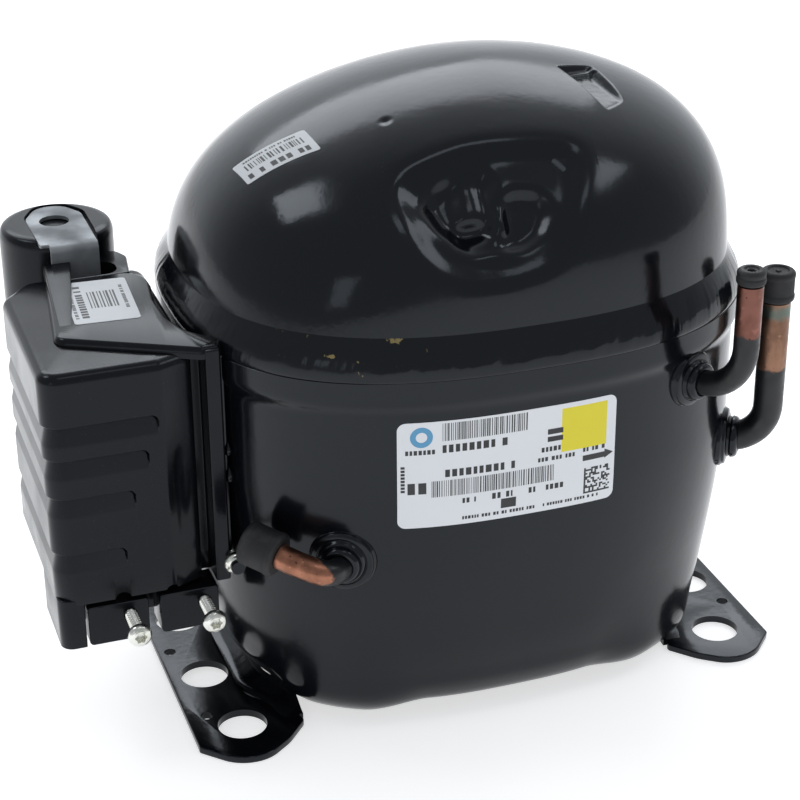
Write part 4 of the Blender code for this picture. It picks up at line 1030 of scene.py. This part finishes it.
def make_bracket():
    """The painted steel guard: an ear for the cover's screw and a strip up the side of the box."""
    x, z = COVER_SCREW
    ear = outline([(-93.5, 55.5), (-81.6, 54.8), (-79.3, 58.0), (-79.3, 66.0), (-83.5, 68.5), (-92.0, 66.5)],
                  [3, 3, 2, 3, 3, 3], 0.8)
    plate = slab(ear, EAR_Y, EAR_Y + 1.5, 0.4, "XZ")
    strip = slab(outline([(-84.4, -41.4), (-83.3, -41.6), (-83.1, -35.5), (-84.2, -35.3)], [0.4] * 4, 0.6),
                 62.0, 131.0, 0.4)
    leg_plan = [(-84.0, EAR_Y + 1.0), (-81.2, EAR_Y + 1.0), (-83.6, -36.8), (-85.6, -36.8)]
    leg = slab(outline(leg_plan, [0.5] * 4, 0.6), 56.5, 68.0, 0.4)
    drips = []
    for drip_z, size in ((98.0, 1.3), (89.0, 1.5), (92.5, 0.8)):        # runs of paint on the strip
        profile = [(0.01, -1.6 * size), (0.7 * size, -1.2 * size), (size, -0.2 * size),
                   (0.6 * size, 1.2 * size), (0.01, 2.2 * size)]
        soft = rounded_profile(profile, [0, 1, 1, 1, 0], 6)
        drips.append(lathe(soft, (-83.2, -41.8, drip_z), (0, 0, 1), 20))
    ob = piece("guard_bracket_painted", *joined(plate, strip, leg, *drips), PAINT,
               replaces=["guard_bracket"], sharp=40)
    cut(ob, [drill((x, EAR_Y, z), (0, 1, 0), SCREW_HOLE_R, -5, 8)])


# --- capacitor -----------------------------------------------------------------------------------
def make_capacitor_cover():
    """A cup over the capacitor. Its top is sunk where the strap lies."""
    profile = [(17.0, 66.0), (CAP_R - 0.3, 66.0), (CAP_R, 66.3), (CAP_R, 96.0), (CAP_R + 0.25, 96.4),
               (CAP_R + 0.25, 99.0), (CAP_R, 99.4), (CAP_R, CUP_RIM - 3.0), (CAP_R - 0.8, CUP_RIM - 0.8),
               (CAP_R - 2.8, CUP_RIM), (0.6, CUP_RIM), (0.6, 138.2), (17.0, 138.2)]
    soft = rounded_profile(profile, [0, 0.2, 0.2, 0, 0.3, 0.3, 0, 1.6, 1.2, 1.4, 0, 0, 0], 6)
    ob = piece("capacitor_cup", *lathe(soft, (CAP_X, CAP_Y, 0), count=96, loop=True), PLASTIC,
               replaces=["capacitor_cover"], sharp=38)
    sunk = outline([(-104.4, 30.0), (-104.4, 60.2), (-110.2, 69.5), (-119.6, 69.5), (-124.9, 59.2),
                    (-124.4, 33.4), (-121.4, 33.0), (-121.4, 30.0)], [0, 9, 8, 8, 9, 1, 1, 0], 0.7)
    cut(ob, [skin([place(sunk, z) for z in (CAP_TOP, 150.0)])])


def make_strap():
    """A galvanised strap: round end with a hole, folded down into the holder's slot."""
    z, thick = CAP_TOP + GAP, 1.2
    plan = outline([(-105.3, FOLD_Y), (-105.3, 60.0), (-110.5, 69.0), (-119.4, 69.0), (-124.6, 59.0),
                    (-124.0, 34.6), (-121.0, 34.3), (-121.0, FOLD_Y)], [0, 8, 7, 7, 8, 0.8, 0.2, 0], 0.7)
    turn = np.linspace(0, pi / 2, 10)

    def bend(radius, angle):
        return [(FOLD_Y - radius * np.sin(t), z + thick - FOLD_R + radius * np.cos(t)) for t in angle]

    leg = [(FOLD_Y - FOLD_R + thick, 112.0), (FOLD_Y - FOLD_R, 112.0)]
    section = bend(FOLD_R - thick, turn) + leg + bend(FOLD_R, turn[::-1])
    rows = [place(section, x, "YZ") for x in (-121.0, -120.7, -105.6, -105.3)]
    mesh = joined(slab(plan, z, z + thick, 0.3), skin(rows))
    ob = piece("capacitor_strap_folded", *mesh, GALVANISED, replaces=["capacitor_strap"], sharp=40)
    cut(ob, [drill((-115.4, 55.0, z), (0, 0, 1), 5.0, -3, 4, 48)])


def make_springs():
    """The four suspension springs, as fixed coils."""
    low, high, turns, per_turn = 18.5, 44.6, 5.5, 20
    t = np.linspace(0, turns * 2 * pi, int(turns * per_turn) + 1)
    closed = np.clip(1.15 * t / t[-1] - 0.075, 0, 1)
    for side, x in (("left", -SPRING_X), ("right", SPRING_X)):
        for end, y in (("front", -SPRING_Y), ("back", SPRING_Y)):
            path = np.stack([x + SPRING_R * np.cos(t), y + SPRING_R * np.sin(t),
                             low + (high - low) * closed], 1)
            name = "spring_" + end + "_" + side
            mesh = sweep(path, SPRING_WIRE, 12)
            ob = piece(name + "_coil", *mesh, SPRING_STEEL, body=None, replaces=[name])
            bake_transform(ob)


# --- screws and clamps ---------------------------------------------------------------------------
def make_screw(name, seat, shank_r, head_r, length, head_h, body, node):
    """A pan-head screw along +y with a thread on its shank and a star recess in its head."""
    t = np.linspace(0, 2 * pi, 72, endpoint=False)

    def ring(r, y):
        x, z = r * np.cos(t), r * np.sin(t)
        return np.column_stack([seat[0] + x, np.full(len(t), seat[1] + y), seat[2] + z])

    head = [(shank_r, 0.0), (head_r - 0.3, 0.0), (head_r, 0.25), (head_r, head_h * 0.40),
            (head_r * 0.93, head_h * 0.68), (head_r * 0.78, head_h * 0.88), (head_r * 0.60, head_h * 0.97),
            (head_r * 0.56, head_h)]
    star = 1.0 - 0.22 * (0.5 - 0.5 * np.cos(6 * t))
    rows = [ring(shank_r * 0.3, length + 0.6)]
    pitch, rows_per_turn = 1.25, 8
    for h in np.linspace(length, 0.0, int(length / pitch * rows_per_turn)):
        phase = (h / pitch - t / (2 * pi)) % 1.0
        crest = 1 - np.abs(phase * 2 - 1)
        taper = min(1.0, 0.35 + (length - h) / 3.0)
        rows.append(ring((shank_r * 0.74 + (shank_r * 0.36) * crest ** 1.5) * taper, h))
    rows += [ring(r, -h) for r, h in rounded_profile(head, [0, 0.1, 0.1, 0.3, 0.5, 0.5, 0.2, 0], 4)]
    rows += [ring(head_r * r * star, -head_h * h) for r, h in ((0.52, 0.97), (0.50, 0.35), (0.46, 0.22))]
    rows.append(ring(0.02, -head_h * 0.18))
    piece(name, *skin(rows), ZINC, body, replaces=[node], sharp=50)


def make_clamps():
    """The two blocks that hold the supply leads, and the three screws."""
    for side, (x0, x1, x_screw) in CLAMPS.items():
        body = side + "_clamp"
        ring = outline([(x0, CLAMP_Z0), (x1, CLAMP_Z0), (x1, CLAMP_Z1), (x0, CLAMP_Z1)],
                       [1.4, 0.8, 0.8, 0.8], 0.8)
        block = slab(ring, BOX_Y0, CRADLE_Y - 4.5, 0.6, "XZ")
        ob = piece(side + "_cord_block", *block, PLASTIC, body,
                   replaces=[side + "_cord_clamp"], sharp=38)
        cut(ob, [drill((x_screw, BOX_Y0, CLAMP_Z), (0, 1, 0), SCREW_HOLE_R, -3, 20),
                 drill((x0 + 5.4, CRADLE_Y - 3.9, 38.0), (0, 0, 1), 3.4, -3, 30)])
        make_screw(side + "_clamp_screw_threaded", (x_screw, BOX_Y0 - 11.6, CLAMP_Z), 1.8, 3.8, 27.4, 2.8,
                   side + "_clamp_screw", side + "_clamp_screw")
    make_screw("cover_screw_threaded", (COVER_SCREW[0], EAR_Y - GAP, COVER_SCREW[1]), 1.9, 3.8, 8.4, 2.8,
               "compressor", "cover_screw")


# --- labels --------------------------------------------------------------------------------------
LABEL_X0, LABEL_Z0, LABEL_W, LABEL_H = -39.8, 79.7, 70.0, 36.0


def sheet_faces(nu, nv):
    """Faces of a thin closed sheet on an nu by nv grid. Its low points come first, then its high ones."""
    count = nu * nv
    faces = []
    for j in range(nv - 1):
        for i in range(nu - 1):
            a, b, c, d = j * nu + i, j * nu + i + 1, (j + 1) * nu + i + 1, (j + 1) * nu + i
            faces += [(a + count, b + count, c + count, d + count), (d, c, b, a)]
    rim = list(range(nu)) + [j * nu + nu - 1 for j in range(1, nv)]
    rim += [(nv - 1) * nu + i for i in range(nu - 2, -1, -1)] + [j * nu for j in range(nv - 2, 0, -1)]
    return faces + [(a, b, b + count, a + count) for a, b in zip(rim, rim[1:] + rim[:1])]


def wall_patch(u0, u1, v0, v1, lift, place_on, steps=1.2):
    """A thin closed patch between two offsets of a curved surface."""
    us, vs = (np.linspace(lo, hi, max(2, int(abs(hi - lo) / steps) + 1)) for lo, hi in ((u0, u1), (v0, v1)))
    points = [place_on(u, v, h) for h in lift for v in vs for u in us]
    return np.array(points), sheet_faces(len(us), len(vs))


def rounded_sheet(width, height, radius, lift, place_on, step=1.5):
    """A sheet with round corners, laid on a surface."""
    bend = radius * (1 - np.cos(np.linspace(0, pi / 2, 7)))
    straight = np.linspace(radius, height - radius, max(2, int(height / step)))[1:-1]
    vs = np.concatenate([bend, straight, height - bend[::-1]])
    nu = max(4, int(width / step))
    spots = []
    for v in vs:
        edge = min(v, height - v)
        cut_in = radius - np.sqrt(max(0.0, radius ** 2 - (radius - edge) ** 2)) if edge < radius else 0.0
        spots += [(u, v) for u in np.linspace(cut_in, width - cut_in, nu)]
    points = [place_on(u, v, h) for h in lift for u, v in spots]
    return np.array(points), sheet_faces(nu, len(vs))


def wall_place(u, v, lift):
    """Label coordinates (from its lower left corner) to the front of the lower shell."""
    z = LABEL_Z0 + v
    a = float(wall_a(z))
    b = a + SHELL_B - SHELL_A
    x = LABEL_X0 + u
    share = (x - SHELL_X) / a
    y = -b * (1 - abs(share) ** SHELL_N) ** (1 / SHELL_N)
    out = np.array([abs(share) ** (SHELL_N - 1) * np.sign(share) / a, -abs(y / b) ** (SHELL_N - 1) / b])
    out /= np.linalg.norm(out)
    return np.array([x + out[0] * lift, y + out[1] * lift, z])


def bars(u0, u1, v0, v1, widths):
    """Upright bars of a barcode between u0 and u1."""
    out, u = [], u0
    while u < u1 - 0.3:
        w = widths[int(rng.integers(len(widths)))]
        out.append((u, min(u + w, u1) - 0.04, v0, v1))
        u += w + widths[int(rng.integers(len(widths)))]
    return out


def line_of_words(u0, u1, v, tall):
    """A greeked line: short dashes in place of words."""
    out, u = [], u0
    while u < u1 - 0.5:
        w = min(u1 - u, tall * float(rng.uniform(0.45, 0.75)))
        out.append((u, u + w, v, v + tall))
        u += w + tall * (0.28 if rng.random() < 0.8 else 0.9)
    return out


def print_marks(name, marks, lift, place_on, *steps):
    """One piece of ink for all the marks of a label."""
    piece(name, *joined(*[wall_patch(*mark, lift, place_on, *steps) for mark in marks]), INK)


def make_main_label():
    """The white label on the shell's front, with bars and dashes where the real one has text."""
    sheet = rounded_sheet(LABEL_W, LABEL_H, 2.6, (0.05, 0.17), wall_place)
    piece("rating_label", *sheet, PAPER, sharp=50)
    widths = (0.2, 0.3, 0.45)
    marks = bars(13.5, 40.2, 29.3, 35.2, widths) + bars(10.2, 49.6, 10.4, 15.9, widths)
    words = ((13.5, 35.0, 25.3, 2.6), (14.3, 36.3, 17.0, 2.5), (2.4, 11.8, 25.2, 1.5), (19.7, 23.9, 7.4, 1.7),
             (29.1, 35.7, 7.4, 2.0), (41.0, 43.2, 7.4, 1.9), (46.7, 53.4, 7.4, 1.8), (45.0, 51.5, 20.6, 1.6),
             (43.9, 56.2, 17.4, 1.4), (58.9, 66.6, 18.2, 1.4), (19.7, 43.9, 1.6, 1.1), (45.9, 65.2, 1.7, 1.0))
    for word in words:
        marks += line_of_words(*word)
    marks += [(1.0, 2.2, v, v + 0.8) for v in np.arange(12.6, 21.4, 1.15)]
    marks += [(3.0, 5.2, 11.8, 15.6), (6.2, 8.6, 11.8, 15.6), (46.9, 52.0, 26.4, 28.2),
              (46.9, 52.0, 23.9, 25.6), (32.0, 36.9, 3.6, 6.9), (58.9, 66.4, 15.0, 16.9)]
    cells, size, u0, v0 = 15, 0.6, 59.5, 3.4
    filled = rng.random((cells, cells)) < 0.5
    filled[0, :] = filled[:, 0] = True
    for j, row in enumerate(filled):
        for i in [i for i in range(cells) if row[i] and (i == 0 or not row[i - 1])]:
            end = next((k for k in range(i, cells) if not row[k]), cells)
            marks.append((u0 + i * size, u0 + end * size, v0 + j * size, v0 - 0.03 + (j + 1) * size))
    print_marks("label_print", marks, (0.17, 0.20), wall_place)
    arrow = ((66.4, 14.6), (69.4, 16.2), (66.4, 17.8))
    piece("label_arrow", *skin([[wall_place(u, v, h) for u, v in arrow] for h in (0.17, 0.2)]), INK)
    piece("label_yellow_field", *wall_patch(51.5, 66.8, 19.6, 34.4, (0.171, 0.19), wall_place), YELLOW)
    t = np.linspace(0, 2 * pi, 40, endpoint=False)
    ring_rows = [[wall_place(7.2 + r * np.cos(a), 31.0 + r * np.sin(a), h) for a in t]
                 for r, h in ((3.4, 0.16), (3.4, 0.2), (1.7, 0.2), (1.7, 0.16))]
    piece("label_round_mark", *skin(ring_rows, loop=True), BLUE)


def flat_place(corner, along, up):
    """A function from a flat label's coordinates to points."""
    corner, along, up = (np.array(v, float) for v in (corner, along, up))
    along /= np.linalg.norm(along)
    up -= along * (up @ along)
    up /= np.linalg.norm(up)
    normal = np.cross(along, up)
    return lambda u, v, lift: corner + along * u + up * v + normal * lift


def make_box_sticker():
    """The white sticker on the box's deck."""
    put = flat_place((-102.2, -15.8, BOX_Z1 + BOX_RIM), (0.055, 1.0, 0), (-1.0, 0.055, 0))
    piece("box_sticker", *rounded_sheet(33.0, 20.5, 1.2, (0.03, 0.14), put, 3.0), TAG_PAPER)
    marks = [(11.0, 24.0, v, v + w) for v, w in zip(np.arange(5.0, 13.6, 1.05), rng.uniform(0.25, 0.75, 9))]
    for line in ((4.0, 30.0, 15.3, 2.2), (4.0, 27.0, 18.5, 1.1), (9, 28, 2.0, 1.1)):
        marks += line_of_words(*line)
    print_marks("box_sticker_print", marks, (0.14, 0.17), put, 4.0)


def make_dome_sticker():
    """The small sticker at the dome's left."""
    corner, along, up = np.array([-67.6, -19.6]), np.array([21.2, -7.2]), np.array([-1.4, 13.4])
    length, height = 24.5, 13.6

    def put(u, v, lift):
        x, y = corner + along * (u / length) + up * (v / height)
        z, step = dome_height(x, y), 0.5
        n = np.array([-(dome_height(x + step, y) - z) / step, -(dome_height(x, y + step) - z) / step, 1.0])
        return np.array([x, y, z]) + n / np.linalg.norm(n) * lift

    piece("dome_sticker", *rounded_sheet(length, height, 0.8, (0.05, 0.17), put, 1.2), TAG_PAPER)
    marks = bars(2.5, 22.0, 6.2, 9.8, (0.3, 0.5, 0.75)) + line_of_words(1.6, 23.0, 1.5, 2.6)
    marks += line_of_words(3.0, 21.0, 11.2, 0.9)
    print_marks("dome_sticker_print", marks, (0.17, 0.21), put, 2.0)


# --- build ---------------------------------------------------------------------------------------
make_lower_shell()
make_upper_shell()
make_weld_bead()
make_foot("left_foot_plate", -1, "left_foot")
make_foot("right_foot_plate", 1, "right_foot")
make_pipes()
make_terminal_cover()
make_holder()
make_bracket()
make_capacitor_cover()
make_strap()
make_clamps()
make_springs()
make_main_label()
make_box_sticker()
make_dome_sticker()

# --- studio --------------------------------------------------------------------------------------
scene = bpy.context.scene


def softbox(name, azimuth, elevation, distance, width, height, watts):
    """An area light aimed at the part's middle: azimuth from the front, positive to the right."""
    a, e = radians(azimuth), radians(elevation)
    middle = Vector((0, 0, 0.1))
    toward = Vector((np.sin(a) * np.cos(e), -np.cos(a) * np.cos(e), np.sin(e)))
    data = bpy.data.lights.new(name, "AREA")
    data.shape, data.size, data.size_y = "RECTANGLE", width, height
    data.energy, data.color = watts, (0.94, 0.97, 1.0)
    ob = bpy.data.objects.new(name, data)
    scene.collection.objects.link(ob)
    ob.location = middle + toward * distance
    ob.rotation_euler = (middle - ob.location).to_track_quat("-Z", "Y").to_euler()


def make_floor():
    """A white floor that fades into the pale surroundings."""
    mesh = bpy.data.meshes.new("floor")
    mesh.from_pydata([(-8, -8, 0), (8, -8, 0), (8, 8, 0), (-8, 8, 0)], [], [(0, 1, 2, 3)])
    floor = bpy.data.objects.new("floor", mesh)
    scene.collection.objects.link(floor)
    s = Shader("studio_floor", (0.8, 0.8, 0.81), 0.8, Emission_Color=(1, 1, 1, 1), Emission_Strength=0.62)
    s.mix(s.ramp(s.noise(0.6, 2), 0.3, 0.8, 0.0, 0.4), (0.79, 0.79, 0.8))
    mesh.materials.append(s.mat)


def make_camera():
    """The view of the reference: from the front left, 26 degrees above the floor."""
    azimuth, elevation, roll = radians(-18.926), radians(26.309), radians(-0.417)
    distance, shift_right, shift_up, lens_ratio = 747.0, -12.592, 71.081, 2.61675
    level = np.cos(elevation)
    back = Vector((np.sin(azimuth) * level, -np.cos(azimuth) * level, np.sin(elevation)))
    right = Vector((np.cos(azimuth), np.sin(azimuth), 0))
    up = back.cross(right)
    right, up = right * np.cos(roll) + up * np.sin(roll), up * np.cos(roll) - right * np.sin(roll)
    spot = back * distance + right * shift_right + up * shift_up + Vector((0, 0, FOOT_T))
    data = bpy.data.cameras.new("camera")
    data.sensor_width, data.lens = 36.0, 36.0 * lens_ratio
    data.clip_start, data.clip_end = 0.01, 50
    camera = bpy.data.objects.new("camera", data)
    scene.collection.objects.link(camera)
    turn = Matrix((right, up, back)).transposed().to_4x4()
    camera.matrix_world = Matrix.Translation(Vector(world(spot))) @ turn
    scene.camera = camera


make_floor()
make_camera()
softbox("back_light", 168, 41, 1.6, 1.7, 0.62, 9.5)
softbox("left_light", -116, 52, 1.5, 0.44, 0.40, 2.6)
softbox("right_light", 70, 50, 1.5, 0.50, 0.32, 1.5)
softbox("left_low_light", -46, 17, 1.5, 0.22, 0.42, 0.3)
softbox("top_light", 10, 68, 1.6, 0.5, 0.3, 0.8)


def make_world():
    """Pale behind the part and darker before it, as in a light tent that is open at the camera."""
    studio = bpy.data.worlds.new("studio")
    scene.world = studio
    studio.use_nodes = True
    tree = studio.node_tree
    direction = tree.nodes.new("ShaderNodeTexCoord").outputs["Generated"]
    facing = tree.nodes.new("ShaderNodeVectorMath")
    facing.operation = "DOT_PRODUCT"
    facing.inputs[1].default_value = (0.31, 0.95, 0.0)
    tree.links.new(direction, facing.inputs[0])
    ramp = tree.nodes.new("ShaderNodeMapRange")
    ramp.interpolation_type = "SMOOTHSTEP"
    for key, value in (("From Min", 0.1), ("From Max", 0.9), ("To Min", 0.43), ("To Max", 1.2)):
        ramp.inputs[key].default_value = value
    tree.links.new(facing.outputs["Value"], ramp.inputs["Value"])
    tree.links.new(ramp.outputs["Result"], tree.nodes["Background"].inputs["Strength"])
    tree.nodes["Background"].inputs["Color"].default_value = (0.91, 0.95, 1.0, 1)


make_world()
scene.view_settings.view_transform = "Standard"
